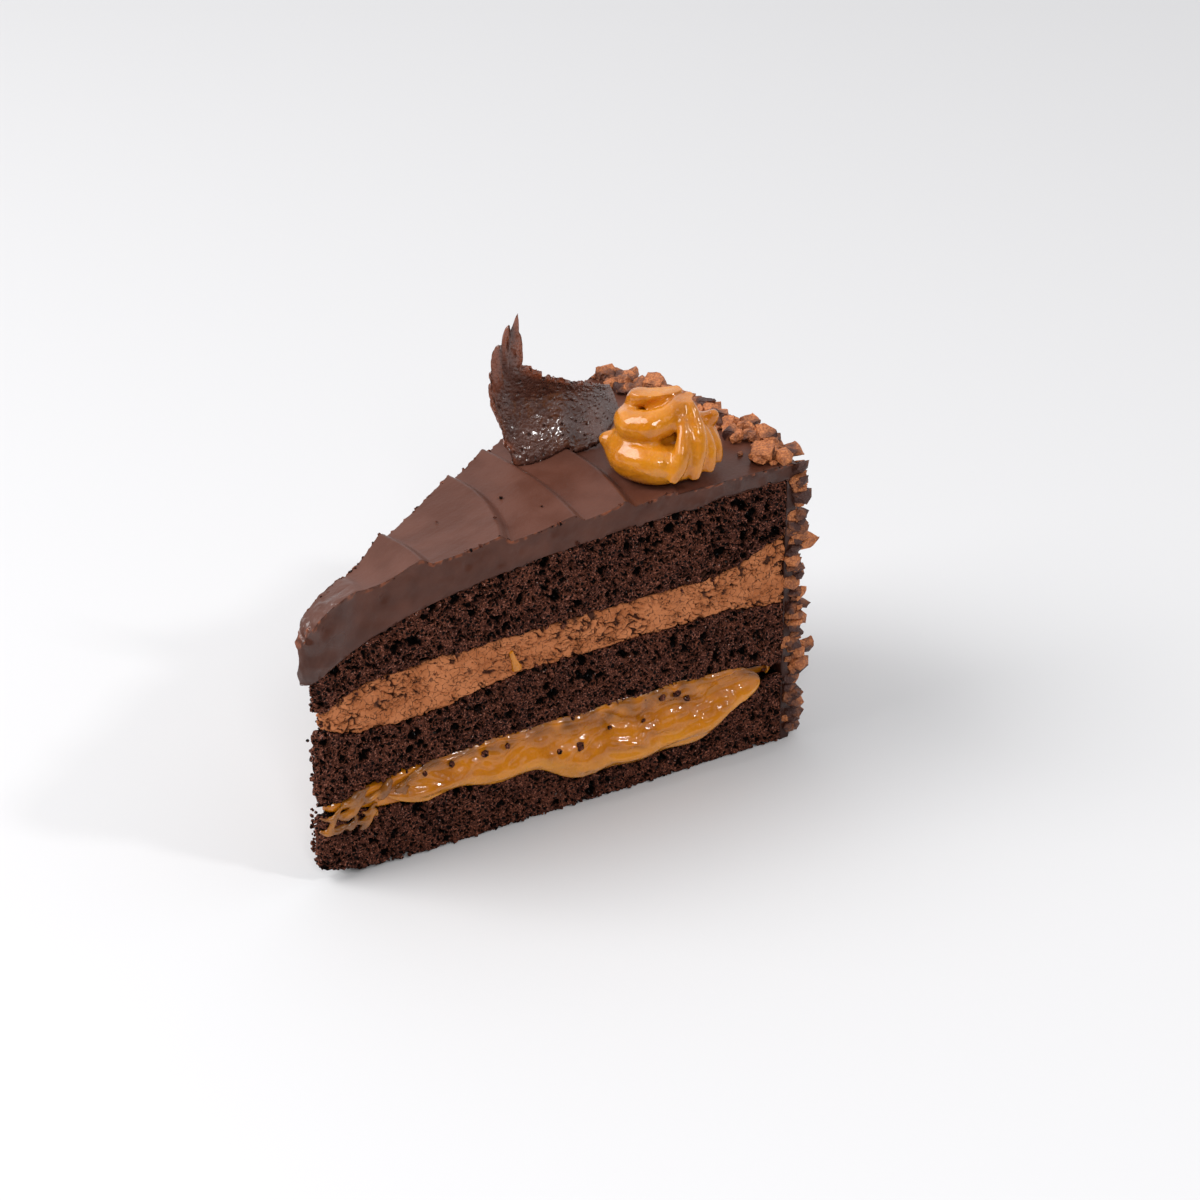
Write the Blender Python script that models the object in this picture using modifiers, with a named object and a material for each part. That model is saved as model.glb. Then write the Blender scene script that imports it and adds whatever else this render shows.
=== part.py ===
"""A slice of three-layer chocolate cake with mousse, caramel, ganache and toppings.

The slice is a wedge whose middle line runs along X, with the tip towards -X and the round rim towards +X.
It stands on Z = 0. Inside this file X = 0 is the cake's own centre, where the two cut faces would meet, and
the whole slice is moved at the end so that its box is centred over the origin.
"""

import math
import random

import bmesh
import bpy
from mathutils import Matrix, Vector

MM = 0.001

# The whole slice.
RIM_RADIUS = 120.4 * MM
CUT_ANGLE = math.radians(28.5)
HALF_ANGLE = CUT_ANGLE / 2
FIT_GAP = 0.3 * MM

# The far cut was made a little inside the near one's mirror image, towards the tip.
FAR_INSET = 1.7 * MM
FAR_INSET_START = 10 * MM
FAR_INSET_END = 80 * MM
# The underside curls up at the tip.
TIP_CURL = 3.6 * MM
TIP_CURL_LENGTH = 8.0 * MM
TIP_CURL_FLAT = 0.1 * MM

# The layers, each stood on the one below.
COAT_THICKNESS = 2.9 * MM
# Each surface between two layers: its height, how far it rises (or falls) to the tip or the rim, and where.
BOTTOM_SPONGE_HEIGHT, BOTTOM_SPONGE_TIP_RISE, BOTTOM_SPONGE_RIM_RISE = 13.4 * MM, 2.6 * MM, 3.6 * MM
BOTTOM_SPONGE_TIP, BOTTOM_SPONGE_RIM = (8 * MM, 26 * MM), (103 * MM, 113 * MM)
CARAMEL_HEIGHT, CARAMEL_TIP_FALL, CARAMEL_RIM_FALL = 21.4 * MM, 3.0 * MM, 2.0 * MM
CARAMEL_TIP, CARAMEL_RIM = (8 * MM, 30 * MM), (103 * MM, 113 * MM)
MIDDLE_SPONGE_HEIGHT, MIDDLE_SPONGE_RISE, MIDDLE_SPONGE_RIM_FALL = 33.0 * MM, 3.4 * MM, 2.0 * MM
MIDDLE_SPONGE_SLOPE, MIDDLE_SPONGE_RIM = (26 * MM, 56 * MM), (100 * MM, 114 * MM)
MIDDLE_SPONGE_CURL, MIDDLE_SPONGE_CURL_LENGTH = 2.8 * MM, 5 * MM
MOUSSE_HEIGHT, MOUSSE_CURL, MOUSSE_CURL_LENGTH = 45.6 * MM, 5.4 * MM, 6.5 * MM
MOUSSE_RIM_RISE, MOUSSE_RIM = 5.5 * MM, (97 * MM, 115 * MM)
CURL_START = 9 * MM
TOP_SPONGE_HEIGHT, TOP_SPONGE_FALL = 64.6 * MM, 14.6 * MM
TOP_SPONGE_START, TOP_SPONGE_LENGTH = 8 * MM, 28 * MM
LAYER_RADIUS = RIM_RADIUS - COAT_THICKNESS - FIT_GAP
TIP_DISTANCE = 6.8 * MM
MOUSSE_TIP_DISTANCE = 8.4 * MM
TIP_ROUNDING = 2.4 * MM
LAYER_STEPS = (22, 4)
TIP_CROWDING = 1.35

# Ganache.
FROSTING_HEIGHT = 68.2 * MM
FROSTING_TIP = 4.4 * MM
FROSTING_TIP_HEIGHT = 56.0 * MM
FROSTING_TIP_LENGTH = 12.5 * MM
FROSTING_TIP_SWELL = 1.3 * MM
FROSTING_TIP_DROOP = 1.6 * MM
FROSTING_FAR_DROOP = 1.6 * MM
STROKE_LIFT = 1.9 * MM
FROSTING_STEPS = (64, 10)
RIM_EDGE_DROP = 0.8 * MM
RIM_EDGE_WIDTH = 3.0 * MM
# The space for the layers is cut with a slab that passes the tip, the floor and both cut faces.
SPACE_TIP = 0.5 * MM
SPACE_DEPTH = 2 * MM
SPACE_SPREAD = 4
SPACE_STEPS = (52, 24)
# Each spatula stroke ends in a ridge that bows towards the rim: its crest, its middle across the slice, and
# its bow per metre.
STROKES = (
    (17.5 * MM, 2 * MM, 60.0),
    (32.2 * MM, 5 * MM, 13.0),
    (57.2 * MM, 12 * MM, 16.5),
    (70.0 * MM, 15 * MM, 6.0),
    (83.0 * MM, 10 * MM, 8.5),
)
STROKE_START = (12 * MM, 30 * MM)
STROKE_FADE = (82 * MM, 92 * MM)
# Each ridge falls within this distance beyond its crest, and rises towards it by this power.
RIDGE_WIDTH = 3.2 * MM
RIDGE_POWER = 2.2
FIRST_STROKE = 12 * MM
LAST_STROKE = 14 * MM
NEAR_DROOP = (20 * MM, 34 * MM)
FAR_DROOP = (20 * MM, 65 * MM)

# Caramel lips that ooze over the cut faces.
LIP_BACK = FIT_GAP
LIP_REACH = 1.0 * MM
NEAR_LIP_DEPTH = 3.4 * MM
FAR_LIP_DEPTH = 2.2 * MM
LIP_STEPS = (12, 30)
# Where each lip starts and ends, and its foot and top: heights, changes along the face, and waves.
NEAR_LIP_SPAN, FAR_LIP_SPAN = (24 * MM, 109 * MM), (30 * MM, 102 * MM)
NEAR_LIP_FOOT, NEAR_LIP_DIP, NEAR_LIP_DRIP, NEAR_LIP_RISE = 13.6 * MM, 1.6 * MM, 5.4 * MM, 6.5 * MM
NEAR_LIP_DIP_SPAN, NEAR_LIP_DRIP_SPAN = (28 * MM, 50 * MM), (56 * MM, 71 * MM)
NEAR_LIP_RISE_SPAN, NEAR_LIP_FALL_SPAN = (90 * MM, 108 * MM), (98 * MM, 108 * MM)
NEAR_LIP_TOP, NEAR_LIP_TOP_RISE, NEAR_LIP_TOP_FALL = 20.8 * MM, 1.9 * MM, 1.2 * MM
NEAR_LIP_TOP_SPAN = (24 * MM, 40 * MM)
NEAR_LIP_WAVE, NEAR_LIP_WAVELENGTH = 0.5 * MM, 2.7 * MM
FAR_LIP_FOOT, FAR_LIP_FOOT_WAVE, FAR_LIP_FOOT_WAVELENGTH = 12.2 * MM, 1.2 * MM, 9 * MM
FAR_LIP_TOP, FAR_LIP_TOP_WAVE, FAR_LIP_TOP_WAVELENGTH = 21.8 * MM, 0.4 * MM, 5 * MM
# Where the slab of caramel reaches through its lips.
REACH_START, REACH_END = (28 * MM, 36 * MM), (92 * MM, 100 * MM)

# Caramel rosette.
ROSETTE_CENTRE = (94.6 * MM, -9.6 * MM)
ROSETTE_TURNS = 2.35
ROSETTE_COIL = 8.6 * MM
ROSETTE_BEAD = 6.2 * MM
ROSETTE_HEIGHT = 13.6 * MM
ROSETTE_LEAN = (4.2 * MM, -3.6 * MM)
ROSETTE_START = math.radians(160)
ROSETTE_VOXEL = 1.35 * MM
ROSETTE_SEAT = 11 * MM

# Chocolate shard: ribs of the leaf, each with its share of the way along, its foot and how far that stands
# over the ganache, and its top. The leaf's left edge bows out and its middle is cupped.
SHARD_THICKNESS = 1.1 * MM
SHARD_RIBS = (
    (0.00, (71.8, 11.0), 0.7, (75.2, 10.9, 102.2)),
    (0.07, (73.0, 9.4), 0.7, (75.8, 10.5, 92.6)),
    (0.16, (75.2, 7.9), 0.7, (77.4, 9.2, 89.6)),
    (0.42, (82.5, 5.6), 0.8, (84.0, 9.3, 85.4)),
    (0.72, (91.8, 4.8), 1.4, (94.5, 11.3, 79.8)),
    (1.00, (101.8, 9.0), 3.0, (103.3, 13.6, 75.0)),
)
SHARD_SIDE = Vector((-0.72, 0.69, 0))
SHARD_BACK = Vector((0.69, 0.72, 0))
SHARD_BOW = 5.3 * MM
SHARD_CUP = 3.6 * MM
SHARD_STEPS = (24, 9)

# Chopped chocolate: angle round the rim in degrees, distance in from the rim's edge, greatest width.
RIM_CHUNKS = (
    (-12.3, 6.6 * MM, 9.0 * MM),
    (-12.7, -0.6 * MM, 6.6 * MM),
    (-9.2, 1.5 * MM, 8.0 * MM),
    (-6.4, 6.0 * MM, 6.6 * MM),
    (-5.6, -0.2 * MM, 6.4 * MM),
    (-2.7, 2.8 * MM, 7.6 * MM),
    (0.5, 0.4 * MM, 7.0 * MM),
    (3.4, 3.6 * MM, 8.6 * MM),
    (7.0, 1.9 * MM, 9.2 * MM),
    (9.6, 6.4 * MM, 6.6 * MM),
    (10.8, -0.6 * MM, 6.0 * MM),
    (12.9, 3.6 * MM, 7.0 * MM),
)
SIDE_ROWS = (9 * MM, 22 * MM, 35 * MM, 48 * MM, 60 * MM)
SIDE_PER_ROW = 4
SIDE_SPREAD = 1.06
SIDE_CHUNK = 6.4 * MM
CHISEL_CUTS = 9
CHUNK_SEED = 11

COLOURS = {
    "sponge": ((0.045, 0.018, 0.012), 0.85),
    "mousse": ((0.30, 0.125, 0.062), 0.6),
    "caramel": ((0.56, 0.22, 0.03), 0.2),
    "ganache": ((0.060, 0.032, 0.028), 0.38),
    "shard": ((0.040, 0.022, 0.020), 0.3),
    "chunk": ((0.14, 0.05, 0.025), 0.55),
}


def ease(value, low, high):
    """0 below low, 1 above high, smooth in between."""
    share = min(1.0, max(0.0, (value - low) / (high - low)))
    return share * share * (3 - 2 * share)


def far_inset(x):
    return FAR_INSET * (1 - ease(x, FAR_INSET_START, FAR_INSET_END))


# Heights of the surfaces between the layers, at a distance x from the cake's centre.


def underside(x, y=0.0):
    return max(0.0, TIP_CURL * math.exp(-(x - TIP_DISTANCE) / TIP_CURL_LENGTH) - TIP_CURL_FLAT)


def bottom_sponge_top(x, y=0.0):
    tip_rise = BOTTOM_SPONGE_TIP_RISE * (1 - ease(x, *BOTTOM_SPONGE_TIP))
    return BOTTOM_SPONGE_HEIGHT + tip_rise + BOTTOM_SPONGE_RIM_RISE * ease(x, *BOTTOM_SPONGE_RIM)


def caramel_top(x, y=0.0):
    tip_fall = CARAMEL_TIP_FALL * (1 - ease(x, *CARAMEL_TIP))
    return CARAMEL_HEIGHT - tip_fall - CARAMEL_RIM_FALL * ease(x, *CARAMEL_RIM)


def middle_sponge_top(x, y=0.0):
    curl = MIDDLE_SPONGE_CURL * math.exp(-max(0.0, x - CURL_START) / MIDDLE_SPONGE_CURL_LENGTH)
    slope = MIDDLE_SPONGE_RISE * ease(x, *MIDDLE_SPONGE_SLOPE)
    return MIDDLE_SPONGE_HEIGHT + slope + curl - MIDDLE_SPONGE_RIM_FALL * ease(x, *MIDDLE_SPONGE_RIM)


def mousse_top(x, y=0.0):
    curl = MOUSSE_CURL * math.exp(-max(0.0, x - CURL_START) / MOUSSE_CURL_LENGTH)
    return MOUSSE_HEIGHT - curl + MOUSSE_RIM_RISE * ease(x, *MOUSSE_RIM)


def top_sponge_top(x, y=0.0):
    return TOP_SPONGE_HEIGHT - TOP_SPONGE_FALL * math.exp(-(x - TOP_SPONGE_START) / TOP_SPONGE_LENGTH)


def stroke_wave(x, y):
    """How high the spatula left the ganache, from 0 in a stroke's hollow to 1 on a ridge."""
    ridges = [crest - bow * (y - middle) ** 2 for crest, middle, bow in STROKES]
    ridges = [ridges[0] - FIRST_STROKE, *ridges, ridges[-1] + LAST_STROKE]
    for start, end in zip(ridges, ridges[1:]):
        if start <= x < end:
            share = (x - start) / (end - start)
            return max(1 - ease(share * (end - start), 0, RIDGE_WIDTH), share**RIDGE_POWER)
    return 0.0


def frosting_top(x, y):
    """The ganache's upper surface: strokes, a round fall at the tip and a soft edge at the rim."""
    wave = stroke_wave(x, y) * ease(x, *STROKE_START) * (1 - ease(x, *STROKE_FADE))
    height = FROSTING_HEIGHT + STROKE_LIFT * wave - FROSTING_TIP_DROOP * (1 - ease(x, *NEAR_DROOP))
    far_side = 0.5 + 0.5 * max(-1.0, min(1.0, y / (x * math.tan(HALF_ANGLE))))
    height -= FROSTING_FAR_DROOP * far_side * (1 - ease(x, *FAR_DROOP))
    radius = math.hypot(x, y)
    height -= RIM_EDGE_DROP * ease(radius, RIM_RADIUS - RIM_EDGE_WIDTH, RIM_RADIUS) ** 2
    along = min(1.0, max(0.0, (x - FROSTING_TIP) / FROSTING_TIP_LENGTH))
    rise = math.sqrt(1 - (1 - along) ** 2)
    return FROSTING_TIP_HEIGHT + (height - FROSTING_TIP_HEIGHT) * rise


def material(slot):
    """One Principled material for each kind of food, made once."""
    made = bpy.data.materials.get(slot)
    if made is None:
        colour, roughness = COLOURS[slot]
        made = bpy.data.materials.new(slot)
        made.use_nodes = True
        shader = made.node_tree.nodes["Principled BSDF"]
        shader.inputs["Base Color"].default_value = (*colour, 1)
        shader.inputs["Roughness"].default_value = roughness
        shader.inputs["Metallic"].default_value = 0.0
        made.diffuse_color = (*colour, 1)
    return made


def add_object(name, bm, slot, smooth_angle=None):
    """Makes an object of a finished bmesh, in the slice's collection."""
    mesh = bpy.data.meshes.new(name)
    bm.to_mesh(mesh)
    bm.free()
    mesh.materials.append(material(slot))
    if smooth_angle is not None:
        mesh.shade_smooth()
        mesh.set_sharp_from_angle(angle=math.radians(smooth_angle))
    obj = bpy.data.objects.new(name, mesh)
    bpy.data.collections["cake_slice"].objects.link(obj)
    return obj


def wedge_slab(radius, tip, top, bottom, steps=LAYER_STEPS, half_angle=HALF_ANGLE, reach=None, swell=0.0):
    """A bmesh wedge with a rounded tip and a round rim, between two surfaces given as functions of (x, y).

    reach is how far the slab passes each cut face, as a function of x, and swell fattens the tip.
    """
    bm = bmesh.new()
    bmesh.ops.create_grid(bm, x_segments=steps[0], y_segments=steps[1], size=1)
    for vert in bm.verts:
        along, across = ((vert.co.x + 1) / 2) ** TIP_CROWDING, vert.co.y
        nose = tip + TIP_ROUNDING * (1 - math.sqrt(max(0.0, 1 - across * across)))
        r = nose + (radius - nose) * along
        angle = across * half_angle
        x, y = r * math.cos(angle), r * math.sin(angle)
        y -= max(0.0, across) * far_inset(x)
        if reach is not None:
            y += across * reach(x)
        y += across * swell * math.exp(-(((x - tip - 0.003) / 0.008) ** 2))
        vert.co = (x, y, bottom(x, y))
    raised = bmesh.ops.extrude_face_region(bm, geom=bm.faces[:])
    for item in raised["geom"]:
        if isinstance(item, bmesh.types.BMVert):
            item.co.z = top(item.co.x, item.co.y)
    bmesh.ops.recalc_face_normals(bm, faces=bm.faces[:])
    return bm


def layer(name, slot, tip, top, bottom):
    return add_object(name, wedge_slab(LAYER_RADIUS, tip, top, bottom), slot)


def over(surface):
    """The surface that a layer standing on this one starts from."""
    return lambda x, y=0.0: surface(x, y) + FIT_GAP


def flat_base(x, y=0.0):
    return 0.0


def cut_face(r, side):
    """A spot on the near (-1) or far (1) cut face, at a distance r from the cake's centre."""
    x, y = r * math.cos(HALF_ANGLE), side * r * math.sin(HALF_ANGLE)
    return Vector((x, y - (far_inset(x) if side > 0 else 0.0), 0))


def join(first, second, operation):
    """Applies a Boolean of two objects to the first and removes the second."""
    modifier = first.modifiers.new(operation.title(), "BOOLEAN")
    modifier.operation = operation
    modifier.object = second
    bpy.context.view_layer.update()
    graph = bpy.context.evaluated_depsgraph_get()
    done = bpy.data.meshes.new_from_object(first.evaluated_get(graph))
    first.modifiers.clear()
    first.data = done
    bpy.data.objects.remove(second)
    return first


def caramel_lip(side, depth, low, high, start, end):
    """A D-shaped roll of caramel on one cut face: side is -1 or 1, low and high are functions of r."""
    bm = bmesh.new()
    around, along = LIP_STEPS
    turn = Matrix.Rotation(math.pi / 2, 4, "Y")
    bmesh.ops.create_uvsphere(bm, u_segments=around, v_segments=along, radius=1, matrix=turn)
    outward = Vector((-math.sin(HALF_ANGLE), side * math.cos(HALF_ANGLE), 0))
    for vert in bm.verts:
        pole = max(-1.0, min(1.0, vert.co.x))
        ring = math.sqrt(max(0.0, 1 - pole * pole))
        belly, height = (vert.co.y / ring, vert.co.z / ring) if ring > 1e-6 else (0.0, 0.0)
        share = 0.5 - math.asin(pole) / math.pi
        r = start + (end - start) * share
        fullness = min(1.0, ring * 2.2)
        middle, half = (high(r) + low(r)) / 2, (high(r) - low(r)) / 2
        out = LIP_BACK + max(0.0, belly) * depth * fullness
        spot = cut_face(r, side) + outward * out
        vert.co = (spot.x, spot.y, middle + half * fullness * height)
    bmesh.ops.remove_doubles(bm, verts=bm.verts[:], dist=0.00001)
    bmesh.ops.recalc_face_normals(bm, faces=bm.faces[:])
    return bm


def near_lip_low(r):
    drip = NEAR_LIP_DRIP * ease(r, *NEAR_LIP_DRIP_SPAN) - NEAR_LIP_RISE * ease(r, *NEAR_LIP_RISE_SPAN)
    wave = NEAR_LIP_WAVE * math.sin(r / NEAR_LIP_WAVELENGTH)
    return NEAR_LIP_FOOT - NEAR_LIP_DIP * ease(r, *NEAR_LIP_DIP_SPAN) - drip + wave


def near_lip_high(r):
    rise = NEAR_LIP_TOP_RISE * ease(r, *NEAR_LIP_TOP_SPAN)
    return NEAR_LIP_TOP + rise - NEAR_LIP_TOP_FALL * ease(r, *NEAR_LIP_FALL_SPAN)


def far_lip_low(r):
    return FAR_LIP_FOOT + FAR_LIP_FOOT_WAVE * math.sin(r / FAR_LIP_FOOT_WAVELENGTH)


def far_lip_high(r):
    return FAR_LIP_TOP + FAR_LIP_TOP_WAVE * math.sin(r / FAR_LIP_TOP_WAVELENGTH)


def build_caramel():
    """The caramel layer with a lip on each cut face, as one solid."""

    def reach(x):
        return LIP_REACH * ease(x, *REACH_START) * (1 - ease(x, *REACH_END))

    slab = wedge_slab(
        LAYER_RADIUS, MOUSSE_TIP_DISTANCE, caramel_top, over(bottom_sponge_top), reach=reach
    )
    caramel = add_object("caramel_layer", slab, "caramel")
    lips = (
        caramel_lip(-1, NEAR_LIP_DEPTH, near_lip_low, near_lip_high, *NEAR_LIP_SPAN),
        caramel_lip(1, FAR_LIP_DEPTH, far_lip_low, far_lip_high, *FAR_LIP_SPAN),
    )
    for bm in lips:
        join(caramel, add_object("lip", bm, "caramel"), "UNION")
    return caramel


def build_ganache():
    """The ganache over the top and down the rim: an outer wedge less the space of the layers."""
    outer = wedge_slab(
        RIM_RADIUS, FROSTING_TIP, frosting_top, flat_base, FROSTING_STEPS, swell=FROSTING_TIP_SWELL
    )
    ganache = add_object("ganache", outer, "ganache")
    inside = wedge_slab(
        LAYER_RADIUS + FIT_GAP,
        SPACE_TIP,
        over(top_sponge_top),
        lambda x, y=0.0: -SPACE_DEPTH,
        steps=SPACE_STEPS,
        half_angle=HALF_ANGLE * SPACE_SPREAD,
    )
    join(ganache, add_object("layer_space", inside, "ganache"), "DIFFERENCE")
    return ganache


def rosette_path(share):
    """(centre of the bead, its radius) of the piped caramel, from its start at 0 to its peak at 1."""
    angle = ROSETTE_START + share * ROSETTE_TURNS * 2 * math.pi
    coil = ROSETTE_COIL * (1 - share**1.25)
    rise = share**1.15
    lean = ease(share, 0.55, 1.0)
    place = Vector((coil * math.cos(angle), coil * math.sin(angle), 0))
    place += Vector((*ROSETTE_LEAN, 0)) * lean
    place.z = ROSETTE_BEAD * 0.75 + (ROSETTE_HEIGHT - ROSETTE_BEAD * 0.75) * rise
    bead = ROSETTE_BEAD * (1 - 0.28 * share) * (1 - ease(share, 0.72, 1.02)) + 0.35 * MM
    return place, bead * (0.75 + 0.25 * ease(share, 0.0, 0.08))


def build_rosette():
    """A rope of caramel piped in a rising coil, flat underneath, that ends in a leaning peak."""
    curve = bpy.data.curves.new("rosette_rope", "CURVE")
    curve.dimensions = "3D"
    curve.bevel_depth = 1.0
    curve.bevel_resolution = 3
    curve.use_fill_caps = True
    spline = curve.splines.new("POLY")
    steps = 70
    spline.points.add(steps)
    for i, point in enumerate(spline.points):
        place, bead = rosette_path(i / steps)
        point.co = (*place, 1)
        point.radius = bead
    rope = bpy.data.objects.new("rosette_rope", curve)
    bpy.context.scene.collection.objects.link(rope)
    remesh = rope.modifiers.new("Fuse", "REMESH")
    remesh.mode = "VOXEL"
    remesh.voxel_size = ROSETTE_VOXEL
    bpy.context.view_layer.update()
    fused = bpy.data.meshes.new_from_object(rope.evaluated_get(bpy.context.evaluated_depsgraph_get()))
    bpy.data.objects.remove(rope)

    bm = bmesh.new()
    bm.from_mesh(fused)
    bpy.data.meshes.remove(fused)
    axes = dict.fromkeys(("use_axis_x", "use_axis_y", "use_axis_z"), True)
    bmesh.ops.smooth_vert(bm, verts=bm.verts[:], factor=0.5, **axes)
    everything = bm.verts[:] + bm.edges[:] + bm.faces[:]
    cut = bmesh.ops.bisect_plane(
        bm, geom=everything, plane_co=(0, 0, 0), plane_no=(0, 0, 1), clear_inner=True
    )
    rim = [item for item in cut["geom_cut"] if isinstance(item, bmesh.types.BMEdge)]
    bmesh.ops.holes_fill(bm, edges=rim)
    bmesh.ops.triangulate(bm, faces=[face for face in bm.faces if len(face.verts) > 4])
    bmesh.ops.recalc_face_normals(bm, faces=bm.faces[:])
    rosette = add_object("caramel_rosette", bm, "caramel", smooth_angle=60)
    x, y = ROSETTE_CENTRE
    rosette.location = (x, y, highest_frosting(x, y, ROSETTE_SEAT) + FIT_GAP)
    return rosette


def highest_frosting(x, y, radius):
    """The ganache's highest point within a radius of (x, y)."""
    spots = [(x, y)]
    for ring in (0.25, 0.5, 0.75, 1.0):
        for i in range(16):
            angle = i * math.pi / 8
            spots.append((x + ring * radius * math.cos(angle), y + ring * radius * math.sin(angle)))
    return max(frosting_top(*spot) for spot in spots)


def rib_at(along):
    """(foot, top) of the shard at a share of its length, on a smooth curve through the ribs."""
    rows = [
        (share, Vector((*foot, lift)) * MM, Vector(top) * MM) for share, foot, lift, top in SHARD_RIBS
    ]
    last = len(rows) - 1
    i = max(k for k in range(last) if rows[k][0] <= along or k == 0)
    before, after = rows[max(0, i - 1)], rows[min(last, i + 2)]
    start, end = rows[i], rows[i + 1]
    t = (along - start[0]) / (end[0] - start[0])
    curved = []
    for k in (1, 2):
        leave = (end[k] - before[k]) * (end[0] - start[0]) / (end[0] - before[0])
        arrive = (after[k] - start[k]) * (end[0] - start[0]) / (after[0] - start[0])
        bend = 2 * (start[k] - end[k]) + leave + arrive
        swing = 3 * (end[k] - start[k]) - 2 * leave - arrive
        curved.append(start[k] + leave * t + swing * t**2 + bend * t**3)
    return curved


def shard_point(along, up):
    """A point of the shard's middle surface: along its length, and up from its lower edge to its top."""
    foot, top = rib_at(along)
    foot.z += frosting_top(foot.x, foot.y)
    spot = foot.lerp(top, up)
    swell = math.sin(math.pi * up**1.25)
    spot += SHARD_SIDE * SHARD_BOW * swell * (1 - ease(along, 0.0, 0.5))
    spot += SHARD_BACK * SHARD_CUP * swell * (0.35 + 0.65 * math.sin(math.pi * along))
    return spot


def build_shard():
    """A cupped leaf of chocolate with a ragged edge and one tall point."""
    bm = bmesh.new()
    bmesh.ops.create_grid(bm, x_segments=SHARD_STEPS[0], y_segments=SHARD_STEPS[1], size=1)
    for vert in bm.verts:
        vert.co = shard_point((vert.co.x + 1) / 2, (vert.co.y + 1) / 2)
    shard = add_object("chocolate_shard", bm, "shard")
    solidify = shard.modifiers.new("Thickness", "SOLIDIFY")
    solidify.thickness = SHARD_THICKNESS
    solidify.offset = 0
    return shard


def chiselled_chunk(size, rng):
    """A bmesh lump of chopped chocolate, as wide as size at most: a block with its corners cut away."""
    bm = bmesh.new()
    bmesh.ops.create_cube(bm, size=1)
    scale = Vector((1, rng.uniform(0.62, 0.9), rng.uniform(0.42, 0.65))) * size
    bmesh.ops.scale(bm, vec=scale, verts=bm.verts[:])
    for _ in range(CHISEL_CUTS):
        normal = Vector([rng.uniform(-1, 1) for _ in range(3)]).normalized()
        support = sum(abs(normal[i]) * scale[i] / 2 for i in range(3))
        geometry = bm.verts[:] + bm.edges[:] + bm.faces[:]
        depth = support * rng.uniform(0.55, 0.8)
        cut = bmesh.ops.bisect_plane(
            bm, geom=geometry, plane_co=normal * depth, plane_no=normal, clear_outer=True
        )
        edges = [item for item in cut["geom_cut"] if isinstance(item, bmesh.types.BMEdge)]
        if edges:
            bmesh.ops.edgeloop_fill(bm, edges=edges)
    bmesh.ops.remove_doubles(bm, verts=bm.verts[:], dist=0.0001)
    widest = max(vert.co.length for vert in bm.verts)
    bmesh.ops.scale(bm, vec=Vector((1, 1, 1)) * size / 2 / widest, verts=bm.verts[:])
    bmesh.ops.triangulate(bm, faces=bm.faces[:])
    bmesh.ops.recalc_face_normals(bm, faces=bm.faces[:])
    return bm


def build_rim_chunks(rng):
    """Chopped chocolate lying along the rim of the top."""
    for number, (degrees, inset, size) in enumerate(RIM_CHUNKS, 1):
        bm = chiselled_chunk(size, rng)
        turn = Matrix.Rotation(rng.uniform(0, math.tau), 3, "Z")
        turn = turn @ Matrix.Rotation(rng.uniform(-0.4, 0.4), 3, "X")
        bmesh.ops.rotate(bm, matrix=turn, verts=bm.verts[:])
        lowest = min(vert.co.z for vert in bm.verts)
        angle = math.radians(degrees)
        radius = RIM_RADIUS - inset
        x, y = radius * math.cos(angle), radius * math.sin(angle)
        chunk = add_object(f"rim_chunk_{number:02d}", bm, "chunk")
        chunk.location = (x, y, highest_frosting(x, y, size * 0.6) + FIT_GAP - lowest)


def build_side_chunks(rng):
    """Chopped chocolate pressed into the ganache of the rim, in staggered rows."""
    number = 0
    for row, height in enumerate(SIDE_ROWS):
        for place in range(SIDE_PER_ROW):
            number += 1
            share = (place + 0.5 + 0.3 * (-1) ** row) / SIDE_PER_ROW
            angle = HALF_ANGLE * (2 * share - 1) * SIDE_SPREAD
            size = SIDE_CHUNK * rng.uniform(0.8, 1.2)
            bm = chiselled_chunk(size, rng)
            turn = Matrix.Rotation(rng.uniform(0, math.tau), 3, "X")
            bmesh.ops.rotate(bm, matrix=Matrix.Rotation(angle, 3, "Z") @ turn, verts=bm.verts[:])
            outward = Vector((math.cos(angle), math.sin(angle), 0))
            depth = -min(vert.co.dot(outward) for vert in bm.verts)
            chunk = add_object(f"side_chunk_{number:02d}", bm, "chunk")
            chunk.location = outward * (RIM_RADIUS + FIT_GAP + depth)
            chunk.location.z = height + rng.uniform(-2, 2) * MM


def clear_scene():
    for obj in list(bpy.data.objects):
        bpy.data.objects.remove(obj, do_unlink=True)
    collection = bpy.data.collections.new("cake_slice")
    bpy.context.scene.collection.children.link(collection)


def centre_over_origin():
    """Parents every piece to one empty and moves it so that the slice's box is centred over the origin."""
    pieces = list(bpy.data.collections["cake_slice"].objects)
    bpy.context.view_layer.update()
    graph = bpy.context.evaluated_depsgraph_get()
    corners = [
        piece.matrix_world @ Vector(corner)
        for piece in pieces
        for corner in piece.evaluated_get(graph).bound_box
    ]
    root = bpy.data.objects.new("slice_origin", None)
    bpy.data.collections["cake_slice"].objects.link(root)
    for piece in pieces:
        piece.parent = root
    for axis in range(2):
        values = [corner[axis] for corner in corners]
        root.location[axis] = -(min(values) + max(values)) / 2


def build():
    clear_scene()
    rng = random.Random(CHUNK_SEED)
    layer("sponge_bottom", "sponge", TIP_DISTANCE, bottom_sponge_top, underside)
    build_caramel()
    layer("sponge_middle", "sponge", TIP_DISTANCE, middle_sponge_top, over(caramel_top))
    layer("mousse_layer", "mousse", MOUSSE_TIP_DISTANCE, mousse_top, over(middle_sponge_top))
    layer("sponge_top", "sponge", TIP_DISTANCE, top_sponge_top, over(mousse_top))
    build_ganache()
    build_shard()
    build_rosette()
    build_rim_chunks(rng)
    build_side_chunks(rng)
    centre_over_origin()


build()
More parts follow.
